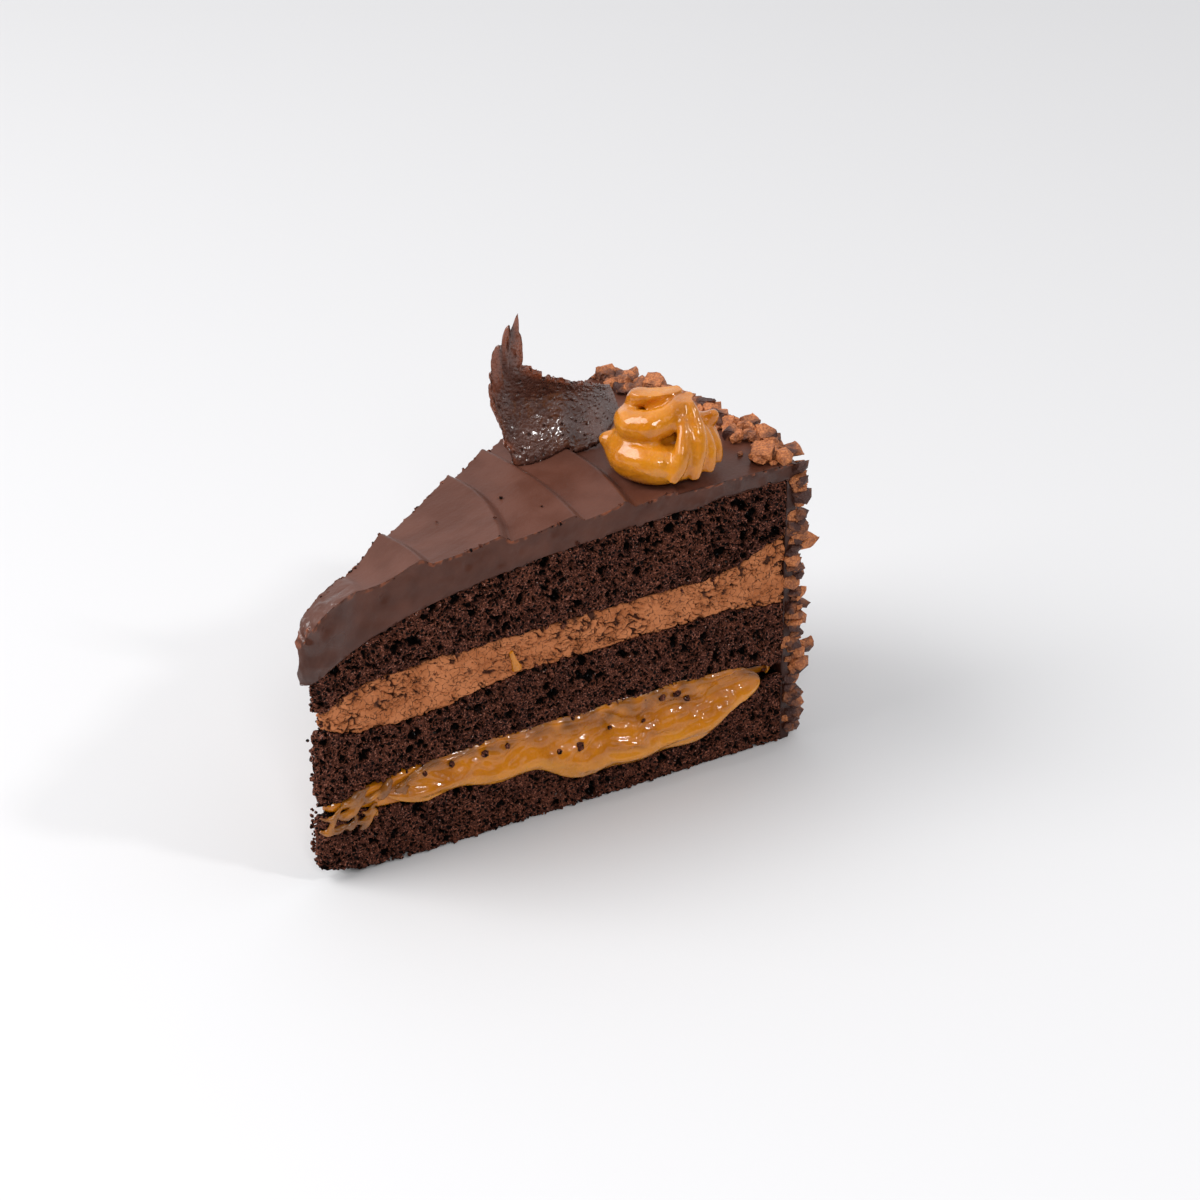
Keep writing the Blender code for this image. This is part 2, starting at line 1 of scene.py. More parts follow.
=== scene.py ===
"""Finished surfaces of a slice of chocolate cake: crumb, fillings, ganache and toppings.

The slice is worked out from the cake's own centre, where its two cut faces would meet, with the tip at -X and
the rim at +X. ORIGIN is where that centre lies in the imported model.
"""

import math
import random

import bmesh
import bpy
import numpy as np
from bpy.props import FloatProperty, FloatVectorProperty, IntProperty, PointerProperty
from bpy.types import Operator, Panel, PropertyGroup
from mathutils import Matrix, Vector


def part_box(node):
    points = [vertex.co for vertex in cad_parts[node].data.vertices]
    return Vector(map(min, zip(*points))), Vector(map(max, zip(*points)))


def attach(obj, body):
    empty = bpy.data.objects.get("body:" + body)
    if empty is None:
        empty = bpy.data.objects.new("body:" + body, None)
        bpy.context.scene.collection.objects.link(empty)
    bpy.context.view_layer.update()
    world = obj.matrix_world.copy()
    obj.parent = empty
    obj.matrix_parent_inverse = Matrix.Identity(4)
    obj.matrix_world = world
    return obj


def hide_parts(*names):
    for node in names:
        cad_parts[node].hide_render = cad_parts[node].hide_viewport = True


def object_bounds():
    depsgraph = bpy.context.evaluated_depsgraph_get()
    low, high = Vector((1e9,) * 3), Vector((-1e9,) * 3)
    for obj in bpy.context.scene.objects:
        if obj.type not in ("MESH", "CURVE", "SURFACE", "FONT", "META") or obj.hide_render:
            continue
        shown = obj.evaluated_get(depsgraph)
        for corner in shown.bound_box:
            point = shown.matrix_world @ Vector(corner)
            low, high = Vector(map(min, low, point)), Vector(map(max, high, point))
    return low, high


bl_info = {
    "name": "Chocolate Cake Slice",
    "version": (1, 0, 0),
    "blender": (4, 5, 0),
    "location": "3D View > Sidebar > Cake",
    "description": "Makes the finished surfaces of a slice of layer cake, its toppings and its stage",
    "category": "Object",
}

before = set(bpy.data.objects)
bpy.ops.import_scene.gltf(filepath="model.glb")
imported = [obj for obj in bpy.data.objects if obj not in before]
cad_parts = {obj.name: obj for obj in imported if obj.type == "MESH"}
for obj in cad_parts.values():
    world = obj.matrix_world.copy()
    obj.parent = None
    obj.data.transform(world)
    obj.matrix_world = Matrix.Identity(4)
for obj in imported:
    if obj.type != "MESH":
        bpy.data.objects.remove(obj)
CAD_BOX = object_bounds()

MM = 0.001
FROSTING_TIP = 4.4 * MM
ORIGIN = np.array(
    [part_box("ganache")[0].x - FROSTING_TIP, (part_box("ganache")[0].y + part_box("ganache")[1].y) / 2, 0.0]
)

# The wedge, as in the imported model.
RIM_RADIUS = 120.4 * MM
HALF_ANGLE = math.radians(14.25)
LAYER_RADIUS = 117.2 * MM
TIP_DISTANCE = 6.8 * MM
MOUSSE_TIP_DISTANCE = 8.4 * MM
TIP_ROUNDING = 2.4 * MM
FIT_GAP = 0.3 * MM
STROKES = (
    (17.5 * MM, 2 * MM, 60.0),
    (32.2 * MM, 5 * MM, 13.0),
    (57.2 * MM, 12 * MM, 16.5),
    (70.0 * MM, 15 * MM, 6.0),
    (83.0 * MM, 10 * MM, 8.5),
)


# ---- Numbers that vary from place to place ----


def ease(value, low, high):
    """0 below low, 1 above high, smooth in between."""
    share = np.clip((value - low) / (high - low), 0, 1)
    return share * share * (3 - 2 * share)


def shuffled(cell, seed):
    """A number from 0 to 1 for each whole-numbered cell."""
    value = cell[..., 0] * 73856093 ^ cell[..., 1] * 19349663 ^ cell[..., 2] * 83492791 ^ seed * 6972593
    value = (value ^ (value >> 13)) * 1274126177 & 0x7FFFFFFF
    value = (value ^ (value >> 11)) * 668265263 & 0x7FFFFFFF
    return (value ^ (value >> 15)) % 65536 / 65536


def noise(points, size, seed=0):
    """Smooth noise from -1 to 1 with lumps of the given size, or sizes along X, Y and Z."""
    scaled = points / size
    base = np.floor(scaled).astype(np.int64)
    share = scaled - base
    share = share * share * (3 - 2 * share)
    total = np.zeros(len(points))
    for corner in np.ndindex(2, 2, 2):
        weight = np.prod(np.where(corner, share, 1 - share), axis=1)
        total += weight * shuffled(base + np.array(corner), seed)
    return total * 2 - 1


def layered_noise(points, size, seed=0):
    return noise(points, size, seed) * 0.6 + noise(points, size / 2.1, seed + 7) * 0.3 + noise(
        points, size / 4.3, seed + 13
    ) * 0.15


def cells(points, size, seed=0):
    """(distance to the nearest cell's middle, to the second nearest, and a number for the nearest cell)."""
    scaled = points / size
    base = np.floor(scaled).astype(np.int64)
    first, second = np.full(len(points), 9.0), np.full(len(points), 9.0)
    owner = np.zeros(len(points))
    for step in np.ndindex(3, 3, 3):
        cell = base + np.array(step) - 1
        middle = cell + np.stack([shuffled(cell, seed + k) for k in (1, 2, 3)], axis=1)
        distance = np.sqrt(((scaled - middle) ** 2).sum(axis=1))
        nearer = distance < first
        second = np.where(nearer, first, np.minimum(second, distance))
        first = np.where(nearer, distance, first)
        owner = np.where(nearer, shuffled(cell, seed + 4), owner)
    return first, second, owner


def warped(points, amount, size, seed=0):
    shift = np.stack([noise(points, size, seed + k) for k in (21, 22, 23)], axis=1)
    return points + amount * shift


# ---- The shape of the slice ----


def far_inset(x):
    return 1.7 * MM * (1 - ease(x, 10 * MM, 80 * MM))


def underside(x):
    return np.maximum(0, 3.6 * MM * np.exp(-(x - TIP_DISTANCE) / (8 * MM)) - 0.1 * MM)


def bottom_sponge_top(x):
    return (13.4 + 2.6 * (1 - ease(x, 0.008, 0.026)) + 3.6 * ease(x, 0.103, 0.113)) * MM


def caramel_top(x):
    return (21.4 - 3.0 * (1 - ease(x, 0.008, 0.030)) - 2.0 * ease(x, 0.103, 0.113)) * MM


def middle_sponge_top(x):
    tip = 2.8 * np.exp(-np.maximum(0, x - 0.009) / 0.005)
    return (33.0 + 3.4 * ease(x, 0.026, 0.056) + tip - 2.0 * ease(x, 0.100, 0.114)) * MM


def mousse_top(x):
    return (45.6 - 5.4 * np.exp(-np.maximum(0, x - 0.009) / 0.0065) + 5.5 * ease(x, 0.097, 0.115)) * MM


def top_sponge_top(x):
    return (64.6 - 14.6 * np.exp(-(x - 0.008) / 0.028)) * MM


def stroke_wave(x, y):
    """How high the spatula left the ganache, from 0 in a stroke's hollow to 1 on a ridge."""
    ridges = [crest - bow * (y - middle) ** 2 for crest, middle, bow in STROKES]
    ridges = [ridges[0] - 0.012, *ridges, ridges[-1] + 0.014]
    wave = np.zeros_like(x)
    for start, end in zip(ridges, ridges[1:]):
        share = (x - start) / (end - start)
        rise = np.maximum(1 - ease(x - start, 0, 0.0032), np.clip(share, 0, 1) ** 2.2)
        wave = np.where((x >= start) & (x < end), rise, wave)
    return wave


def frosting_top(x, y):
    """The ganache's upper surface: strokes, a round fall at the tip and a soft edge at the rim."""
    wave = stroke_wave(x, y) * ease(x, 0.012, 0.030) * (1 - ease(x, 0.082, 0.092))
    height = 68.2 * MM + 1.9 * MM * wave - 1.6 * MM * (1 - ease(x, 0.020, 0.034))
    far_side = 0.5 + 0.5 * np.clip(y / (x * math.tan(HALF_ANGLE)), -1, 1)
    height = height - 1.6 * MM * far_side * (1 - ease(x, 0.020, 0.065))
    height = height - 0.8 * MM * ease(np.hypot(x, y), RIM_RADIUS - 3 * MM, RIM_RADIUS) ** 2
    along = np.clip((x - FROSTING_TIP) / (12.5 * MM), 0, 1)
    rise = np.sqrt(1 - (1 - along) ** 2)
    return 56 * MM + (height - 56 * MM) * rise


def cut_face(r, side):
    """(x, y) on the near (-1) or far (1) cut face, at a distance r from the cake's centre."""
    x, y = r * math.cos(HALF_ANGLE), side * r * math.sin(HALF_ANGLE)
    if side > 0:
        y = y - far_inset(x)
    return x, y


def face_normal(side):
    return np.array([-math.sin(HALF_ANGLE), side * math.cos(HALF_ANGLE), 0.0])


# Points round a layer's outline before it is divided evenly.
NOSE_POINTS = 81
FACE_POINTS = 200
RIM_POINTS = 100


def outline(tip, fine, far, coarse):
    """Points and outward directions round a layer seen from above: near face, tip, far face, rim."""
    nose = np.sin(np.linspace(-math.pi / 2, math.pi / 2, NOSE_POINTS))
    nose_r = tip + TIP_ROUNDING * (1 - np.sqrt(1 - nose**2))
    straight = np.linspace(LAYER_RADIUS, nose_r[0], FACE_POINTS)
    near, far_side = np.full(FACE_POINTS, -1.0), np.full(FACE_POINTS, 1.0)
    across = np.concatenate([near, nose, far_side, np.linspace(1, -1, RIM_POINTS)])
    r = np.concatenate([straight, nose_r, straight[::-1], np.full(RIM_POINTS, LAYER_RADIUS)])
    x, y = r * np.cos(across * HALF_ANGLE), r * np.sin(across * HALF_ANGLE)
    y = y - np.maximum(0, across) * far_inset(x)
    run = np.concatenate([[0], np.cumsum(np.hypot(np.diff(x), np.diff(y)))])
    first_far = FACE_POINTS + NOSE_POINTS
    back, turn, end = run[first_far], run[first_far + FACE_POINTS - 1], run[-1]
    places = [np.arange(0, back, fine), np.arange(back, turn, far), np.arange(turn, end - coarse / 2, coarse)]
    places = np.concatenate(places)
    x, y = np.interp(places, run, x), np.interp(places, run, y)
    ahead = np.roll(np.stack([x, y], 1), -1, 0) - np.roll(np.stack([x, y], 1), 1, 0)
    ahead /= np.linalg.norm(ahead, axis=1)[:, None]
    return np.stack([x, y], 1), np.stack([-ahead[:, 1], ahead[:, 0]], 1)


# ---- Mesh helpers ----


def places_of(bm):
    return np.array([vert.co[:] for vert in bm.verts]).reshape(-1, 3)


def directions_of(bm):
    bm.normal_update()
    return np.array([vert.normal[:] for vert in bm.verts]).reshape(-1, 3)


def place_all(bm, spots, **values):
    """Moves every vertex to its spot and writes the named values on the vertices."""
    floats = bm.verts.layers.float
    layers = [(floats.get(name) or floats.new(name), value) for name, value in values.items()]
    for i, vert in enumerate(bm.verts):
        vert.co = spots[i]
        for layer, value in layers:
            vert[layer] = value[i]


def grid(columns, rows):
    """A flat grid bmesh with, for each vertex, its share of the way along and up."""
    bm = bmesh.new()
    bmesh.ops.create_grid(bm, x_segments=columns, y_segments=rows, size=1)
    spots = places_of(bm)
    return bm, (spots[:, 0] + 1) / 2, (spots[:, 1] + 1) / 2


def close_open_edges(bm):
    bmesh.ops.remove_doubles(bm, verts=bm.verts[:], dist=0.000001)
    bmesh.ops.edgeloop_fill(bm, edges=[edge for edge in bm.edges if edge.is_boundary])
    bmesh.ops.recalc_face_normals(bm, faces=bm.faces[:])


def wall(tip, low, high, steps, relief, ragged):
    """A closed layer whose fine-meshed side takes its relief; ragged is how far its top and foot wander.

    steps are the widths of its mesh faces on the near face, the far face and the rim.
    """
    ring, outward = outline(tip, *steps)
    x = ring[:, 0]
    rows = int((high(x) - low(x)).mean() / steps[0])
    bm, along, up = grid(len(ring), rows)
    column = np.rint(along * len(ring)).astype(int) % len(ring)
    bottom, top = low(x)[column], high(x)[column]
    spots = np.column_stack([ring[column], bottom + (top - bottom) * up])
    edge = np.minimum(spots[:, 2] - bottom, top - spots[:, 2])
    offset, hollow = relief(spots, up)
    offset = offset - 0.45 * MM * (1 - ease(edge, 0, 0.9 * MM)) ** 2
    wander = layered_noise(spots, 1.5 * MM, 31) * ragged * (1 - ease(edge, 0, 1.6 * MM))
    wander = np.where((low(x)[column] < FIT_GAP) & (up < 0.5), np.abs(wander) * 0.4, wander)
    spots[:, :2] += outward[column] * offset[:, None]
    spots[:, 2] += wander
    place_all(bm, spots, hollow=hollow)
    close_open_edges(bm)
    return bm


def rope_mesh(ropes, voxel, smoothing=2):
    """A bmesh of ropes, each a list of (place, radius), fused where they touch."""
    curve = bpy.data.curves.new("rope", "CURVE")
    curve.dimensions = "3D"
    curve.bevel_depth = 1.0
    curve.bevel_resolution = 4
    curve.use_fill_caps = True
    for rope in ropes:
        spline = curve.splines.new("POLY")
        spline.points.add(len(rope) - 1)
        for point, (place, radius) in zip(spline.points, rope):
            point.co = (*place, 1)
            point.radius = radius
    holder = bpy.data.objects.new("rope", curve)
    bpy.context.scene.collection.objects.link(holder)
    remesh = holder.modifiers.new("Fuse", "REMESH")
    remesh.mode = "VOXEL"
    remesh.voxel_size = voxel
    bpy.context.view_layer.update()
    fused = bpy.data.meshes.new_from_object(holder.evaluated_get(bpy.context.evaluated_depsgraph_get()))
    bpy.data.objects.remove(holder)
    bm = bmesh.new()
    bm.from_mesh(fused)
    bpy.data.meshes.remove(fused)
    for _ in range(smoothing):
        bmesh.ops.smooth_vert(
            bm, verts=bm.verts[:], factor=0.5, use_axis_x=True, use_axis_y=True, use_axis_z=True
        )
    return bm


def append_bmesh(target, source):
    """Adds a copy of one bmesh to another and frees it."""
    for name in source.verts.layers.float.keys():
        if name not in target.verts.layers.float:
            target.verts.layers.float.new(name)
    mesh = bpy.data.meshes.new("part")
    source.to_mesh(mesh)
    source.free()
    target.from_mesh(mesh)
    bpy.data.meshes.remove(mesh)


def add_piece(name, bm, material, nodes=(), smooth=True, shift=True):
    """Makes the finished piece of a bmesh in cake coordinates, riding on the slice."""
    if shift:
        bmesh.ops.translate(bm, vec=Vector(ORIGIN), verts=bm.verts[:])
    low, high = (np.array(corner) for corner in CAD_BOX)
    place_all(bm, np.clip(places_of(bm), low, high))
    mesh = bpy.data.meshes.new(name)
    bm.to_mesh(mesh)
    bm.free()
    mesh.materials.append(material)
    mesh.polygons.foreach_set("use_smooth", [smooth] * len(mesh.polygons))
    piece = bpy.data.objects.new(name, mesh)
    bpy.context.scene.collection.objects.link(piece)
    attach(piece, "root")
    if nodes:
        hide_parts(*nodes)
    return piece


# ---- Materials ----


def add_node(tree, kind, **inputs):
    """A shader node with some of its inputs set or linked."""
    node = tree.nodes.new(kind)
    for name, value in inputs.items():
        connect(tree, node, name.replace("_", " "), value)
    return node


def connect(tree, node, name, value):
    socket = node.inputs[name] if not name.isdigit() else node.inputs[int(name)]
    if isinstance(value, bpy.types.NodeSocket):
        tree.links.new(value, socket)
    else:
        socket.default_value = value


def arithmetic(tree, operation, first, second, clamp=False):
    node = tree.nodes.new("ShaderNodeMath")
    node.operation, node.use_clamp = operation, clamp
    connect(tree, node, "0", first)
    connect(tree, node, "1", second)
    return node.outputs[0]


def times(tree, first, second):
    return arithmetic(tree, "MULTIPLY", first, second)


def plus(tree, first, second):
    return arithmetic(tree, "ADD", first, second)


def minus(tree, first, second):
    return arithmetic(tree, "SUBTRACT", first, second)


def ramp(tree, value, low, high, start=0.0, end=1.0):
    """Carries a value from low..high over to start..end."""
    node = tree.nodes.new("ShaderNodeMapRange")
    node.interpolation_type = "SMOOTHSTEP"
    names = ("Value", "From Min", "From Max", "To Min", "To Max")
    for name, number in zip(names, (value, low, high, start, end)):
        connect(tree, node, name, number)
    return node.outputs[0]


def blend_colours(tree, share, first, second):
    node = tree.nodes.new("ShaderNodeMix")
    node.data_type = "RGBA"
    connect(tree, node, "0", share)
    for index, colour in ((6, first), (7, second)):
        value = colour if isinstance(colour, bpy.types.NodeSocket) else (*colour[:3], 1)
        connect(tree, node, str(index), value)
    return node.outputs[2]


def start_group(title, inputs, outputs):
    """A new node group with its named float inputs and their defaults, and its named float outputs."""
    tree = bpy.data.node_groups.new(title, "ShaderNodeTree")
    for name, default in inputs.items():
        socket = tree.interface.new_socket(name=name, in_out="INPUT", socket_type="NodeSocketFloat")
        socket.default_value = default
    for name in outputs:
        tree.interface.new_socket(name=name, in_out="OUTPUT", socket_type="NodeSocketFloat")
    return tree, tree.nodes.new("NodeGroupInput"), tree.nodes.new("NodeGroupOutput")


def vector_maths(tree, operation, first, name, second):
    node = tree.nodes.new("ShaderNodeVectorMath")
    node.operation = operation
    connect(tree, node, "0", first)
    connect(tree, node, name, second)
    return node.outputs[0]


def grain_group():
    """Fine and broad noise and small pits, in one group for every food."""
    made = bpy.data.node_groups.get("Food Grain")
    if made:
        return made
    sizes = {"Fine Scale": 4000.0, "Broad Scale": 250.0, "Pit Scale": 1200.0}
    tree, inside, outside = start_group("Food Grain", sizes, ("Fine", "Broad", "Pits"))
    where = tree.nodes.new("ShaderNodeTexCoord").outputs["Object"]
    fine_scale, broad_scale = inside.outputs["Fine Scale"], inside.outputs["Broad Scale"]
    fine = add_node(tree, "ShaderNodeTexNoise", Vector=where, Scale=fine_scale, Detail=3.0)
    broad = add_node(tree, "ShaderNodeTexNoise", Vector=where, Scale=broad_scale, Detail=4.0)
    pits = add_node(tree, "ShaderNodeTexVoronoi", Vector=where, Scale=inside.outputs["Pit Scale"])
    connect(tree, outside, "Fine", fine.outputs["Fac"])
    connect(tree, outside, "Broad", broad.outputs["Fac"])
    connect(tree, outside, "Pits", pits.outputs["Distance"])
    return tree


def crumb_group():
    """A web of crumb strands round small bubbles: a strand mask, and the web's height."""
    made = bpy.data.node_groups.get("Crumb Web")
    if made:
        return made
    sizes = {"Bubble Scale": 1100.0, "Bend": 0.0005, "Thin": 0.05, "Thick": 0.28}
    tree, inside, outside = start_group("Crumb Web", sizes, ("Strand", "Height"))
    where = tree.nodes.new("ShaderNodeTexCoord").outputs["Object"]
    bend_scale = times(tree, inside.outputs["Bubble Scale"], 0.9)
    bend = add_node(tree, "ShaderNodeTexNoise", Vector=where, Scale=bend_scale, Detail=2.0)
    centred = vector_maths(tree, "SUBTRACT", bend.outputs["Color"], "1", (0.5, 0.5, 0.5))
    shift = vector_maths(tree, "SCALE", centred, "Scale", inside.outputs["Bend"])
    moved = vector_maths(tree, "ADD", where, "1", shift)
    web = add_node(tree, "ShaderNodeTexVoronoi", Vector=moved, Scale=inside.outputs["Bubble Scale"])
    web.feature = "DISTANCE_TO_EDGE"
    strand = ramp(tree, web.outputs["Distance"], inside.outputs["Thin"], inside.outputs["Thick"], 1.0, 0.0)
    connect(tree, outside, "Strand", strand)
    connect(tree, outside, "Height", arithmetic(tree, "POWER", strand, 0.6))
    return tree


def place_crumb(tree, bubble, bend, thin, thick):
    group = tree.nodes.new("ShaderNodeGroup")
    group.node_tree = crumb_group()
    for name, value in (("Bubble Scale", 1 / bubble), ("Bend", bend), ("Thin", thin), ("Thick", thick)):
        group.inputs[name].default_value = value
    return group.outputs["Strand"], group.outputs["Height"]


def start_material(name, roughness, **constants):
    """A material with its Principled shader and a grain group placed in it."""
    material = bpy.data.materials.new(name)
    material.use_nodes = True
    tree = material.node_tree
    shader = tree.nodes["Principled BSDF"]
    shader.inputs["Roughness"].default_value = roughness
    for key, value in constants.items():
        shader.inputs[key.replace("_", " ")].default_value = value
    grain = tree.nodes.new("ShaderNodeGroup")
    grain.node_tree = grain_group()
    return material, tree, shader, grain


def set_grain(grain, fine, broad, pit):
    """Sizes of the grain in metres, from finest to broadest."""
    grain.inputs["Fine Scale"].default_value = 1 / fine
    grain.inputs["Broad Scale"].default_value = 1 / broad
    grain.inputs["Pit Scale"].default_value = 1 / pit
    return grain.outputs["Fine"], grain.outputs["Broad"], grain.outputs["Pits"]


def add_bump(tree, shader, height, distance, strength=1.0):
    bump = add_node(tree, "ShaderNodeBump", Height=height, Distance=distance, Strength=strength)
    connect(tree, shader, "Normal", bump.outputs["Normal"])


def attribute(tree, name):
    node = tree.nodes.new("ShaderNodeAttribute")
    node.attribute_name = name
    return node.outputs["Fac"]


def sponge_material(settings):
    made = bpy.data.materials.get("dark sponge")
    if made:
        return made
    material, tree, shader, grain = start_material("dark sponge", 0.6, Specular_IOR_Level=0.08)
    fine, broad, _ = set_grain(grain, 0.35 * MM, 5 * MM, 0.5 * MM)
    strand, web = place_crumb(tree, 0.95 * MM, 1.3 * MM, 0.07, 0.34)
    hollow = attribute(tree, "hollow")
    warm = blend_colours(tree, ramp(tree, broad, 0.35, 0.65), settings.strand_colour, settings.damp_colour)
    # Pale reddish flecks scattered by fine noise: partly the crumb's own reddish tone, partly painted
    # highlight on lit crumb tips.
    light = blend_colours(tree, ramp(tree, fine, 0.50, 0.70), warm, settings.edge_colour)
    # Painted shade: the small bubbles between the crumb strands are painted near black.
    webbed = blend_colours(tree, ramp(tree, strand, 0.28, 0.85), settings.hollow_colour, light)
    # Painted shade: the deeper pits and holes of the relief are painted near black.
    colour = blend_colours(tree, ramp(tree, hollow, 0.22, 0.68), webbed, settings.hollow_colour)
    connect(tree, shader, "Base Color", colour)
    glint = times(tree, ramp(tree, fine, 0.56, 0.68), ramp(tree, strand, 0.3, 0.8))
    connect(tree, shader, "Roughness", minus(tree, 0.62, times(tree, glint, 0.42)))
    connect(tree, shader, "Coat Weight", times(tree, glint, 0.8))
    shader.inputs["Coat Roughness"].default_value = 0.12
    add_bump(tree, shader, plus(tree, web, times(tree, fine, 0.5)), 0.38 * MM)
    return material


def mousse_material(settings):
    material, tree, shader, grain = start_material("chocolate mousse", 0.5, Specular_IOR_Level=0.18)
    fine, broad, pits = set_grain(grain, 0.5 * MM, 6 * MM, 0.9 * MM)
    flake, _ = place_crumb(tree, 1.7 * MM, 2.6 * MM, 0.0, 0.055)
    torn = times(tree, flake, ramp(tree, fine, 0.42, 0.54))
    plain = blend_colours(tree, ramp(tree, broad, 0.35, 0.65), settings.mousse_colour, settings.mousse_light)
    speckled = blend_colours(tree, ramp(tree, fine, 0.50, 0.70, 0, 0.5), plain, settings.mousse_light)
    # Painted shade: the fine torn cracks are painted dark.
    flaked = blend_colours(tree, times(tree, torn, 0.85), speckled, settings.mousse_crack)
    # Painted shade: the deeper cracks and pits of the relief are painted dark.
    hollow = ramp(tree, attribute(tree, "hollow"), 0.30, 0.9)
    colour = blend_colours(tree, hollow, flaked, settings.mousse_crack)
    connect(tree, shader, "Base Color", colour)
    connect(tree, shader, "Roughness", ramp(tree, broad, 0.3, 0.7, 0.40, 0.58))
    relief = minus(tree, times(tree, fine, 0.7), torn)
    add_bump(tree, shader, plus(tree, relief, times(tree, pits, 0.3)), 0.30 * MM)
    return material


def caramel_material(settings):
    made = bpy.data.materials.get("glossy caramel")
    if made:
        return made
    material, tree, shader, grain = start_material(
        "glossy caramel", 0.25, Subsurface_Weight=0.1, Coat_Weight=0.85
    )
    shader.inputs["Subsurface Radius"].default_value = (1.0, 0.45, 0.12)
    shader.inputs["Subsurface Scale"].default_value = 1.2 * MM
    shader.inputs["Coat Roughness"].default_value = 0.05
    shader.inputs["Specular IOR Level"].default_value = 0.2
    fine, broad, pits = set_grain(grain, 1.3 * MM, 7 * MM, 1.9 * MM)
    thick = attribute(tree, "tan")
    deep = blend_colours(tree, ramp(tree, broad, 0.35, 0.65), settings.caramel_colour, settings.caramel_amber)
    # Partly the caramel's own tan, partly painted light: the lip's lower belly, where it bulges out, is
    # painted paler.
    body = blend_colours(tree, thick, deep, settings.caramel_tan)
    # Partly thin caramel over dark crumb, partly painted shade: the lip's upper zone under the sponge's
    # overhang is painted darker.
    colour = blend_colours(tree, attribute(tree, "film"), body, settings.caramel_film)
    connect(tree, shader, "Base Color", colour)
    connect(tree, shader, "Roughness", ramp(tree, fine, 0.35, 0.7, 0.16, 0.34))
    add_bump(tree, shader, plus(tree, fine, times(tree, pits, 0.5)), 0.28 * MM)
    return material


def ganache_material(settings):
    material, tree, shader, grain = start_material("ganache", 0.4, Specular_IOR_Level=0.24)
    fine, broad, pits = set_grain(grain, 0.7 * MM, 9 * MM, 1.6 * MM)
    patches = ramp(tree, broad, 0.35, 0.65)
    plain = blend_colours(tree, patches, settings.ganache_colour, settings.ganache_light)
    # Painted shade: the sides, the nose, the foot and the rim coat are painted darker.
    shaded = blend_colours(tree, attribute(tree, "shade"), plain, settings.ganache_dark)
    colour = blend_colours(tree, attribute(tree, "ragged"), shaded, settings.ragged_colour)
    connect(tree, shader, "Base Color", colour)
    moist = attribute(tree, "moist")
    satin = ramp(tree, broad, 0.3, 0.7, 0.36, 0.46)
    connect(tree, shader, "Roughness", minus(tree, satin, times(tree, moist, 0.2)))
    connect(tree, shader, "Coat Weight", times(tree, moist, 0.4))
    shader.inputs["Coat Roughness"].default_value = 0.12
    add_bump(tree, shader, plus(tree, fine, times(tree, pits, 0.3)), 0.05 * MM)
    return material


def shard_material(settings):
    material, tree, shader, grain = start_material(
        "dark chocolate leaf", 0.3, Specular_IOR_Level=0.4, Coat_Weight=0.8
    )
    fine, broad, pits = set_grain(grain, 0.5 * MM, 6 * MM, 0.9 * MM)
    plain = blend_colours(tree, ramp(tree, broad, 0.35, 0.65), settings.shard_colour, settings.shard_light)
    colour = blend_colours(tree, attribute(tree, "ragged"), plain, settings.shard_edge)
    connect(tree, shader, "Base Color", colour)
    shader.inputs["Coat Roughness"].default_value = 0.10
    connect(tree, shader, "Roughness", ramp(tree, fine, 0.35, 0.7, 0.2, 0.45))
    add_bump(tree, shader, minus(tree, fine, pits), 0.22 * MM)
    return material


def chopped_material(settings):
    made = bpy.data.materials.get("chopped chocolate")
    if made:
        return made
    material, tree, shader, grain = start_material("chopped chocolate", 0.55, Specular_IOR_Level=0.4)
    fine, broad, pits = set_grain(grain, 0.45 * MM, 3.2 * MM, 0.7 * MM)
    face = blend_colours(tree, ramp(tree, fine, 0.40, 0.62), settings.chunk_colour, settings.chunk_light)
    patches = ramp(tree, broad, 0.35, 0.65, -0.35, 0.35)
    tone = arithmetic(tree, "ADD", attribute(tree, "dark"), patches, clamp=True)
    connect(tree, shader, "Base Color", blend_colours(tree, tone, face, settings.chunk_dark))
    connect(tree, shader, "Roughness", ramp(tree, fine, 0.3, 0.7, 0.42, 0.7))
    add_bump(tree, shader, minus(tree, fine, times(tree, pits, 0.7)), 0.25 * MM)
    return material


# ---- Settings ----


def length(name, description, default):
    return FloatProperty(name=name, description=description, default=default, unit="LENGTH", precision=5)


def colour(name, description, default):
    return FloatVectorProperty(
        name=name, description=description, default=default, subtype="COLOR", size=3, min=0, max=1
    )


class SpongeSettings(PropertyGroup):
    """Sizes and colours of the three sponge layers."""

    fine: length("Mesh step", "Width of a mesh face on the near side", 0.2 * MM)
    far: length("Far mesh step", "Width of a mesh face on the far side", 0.33 * MM)
    coarse: length("Rim mesh step", "Width of a mesh face where the coat hides the layers", 1.2 * MM)
    strand: length("Crumb size", "Distance between the crumb's small bubbles", 1.35 * MM)
    strand_depth: length("Crumb depth", "Depth of the small bubbles", 1.25 * MM)
    void: length("Hole size", "Distance between the larger holes", 2.8 * MM)
    void_depth: length("Hole depth", "Depth of the larger holes", 2.3 * MM)
    ragged: length("Ragged edge", "How far each layer's top and foot wander", 0.9 * MM)
    strand_colour: colour("Crumb", "Colour of the crumb", (0.092, 0.028, 0.016))
    damp_colour: colour("Damp crumb", "Colour of damper patches", (0.050, 0.015, 0.010))
    # Partly the crumb's reddish tone, partly painted highlight on lit crumb tips.
    edge_colour: colour("Crumb tip and highlight", "Reddish crumb tips with painted highlight", (0.34, 0.110, 0.060))
    # Painted shade: near black painted deep in the crumb's holes and bubbles.
    hollow_colour: colour("Painted hollow shade", "Painted shade deep in the holes", (0.0025, 0.0008, 0.0005))

    def steps(self):
        return self.fine, self.far, self.coarse


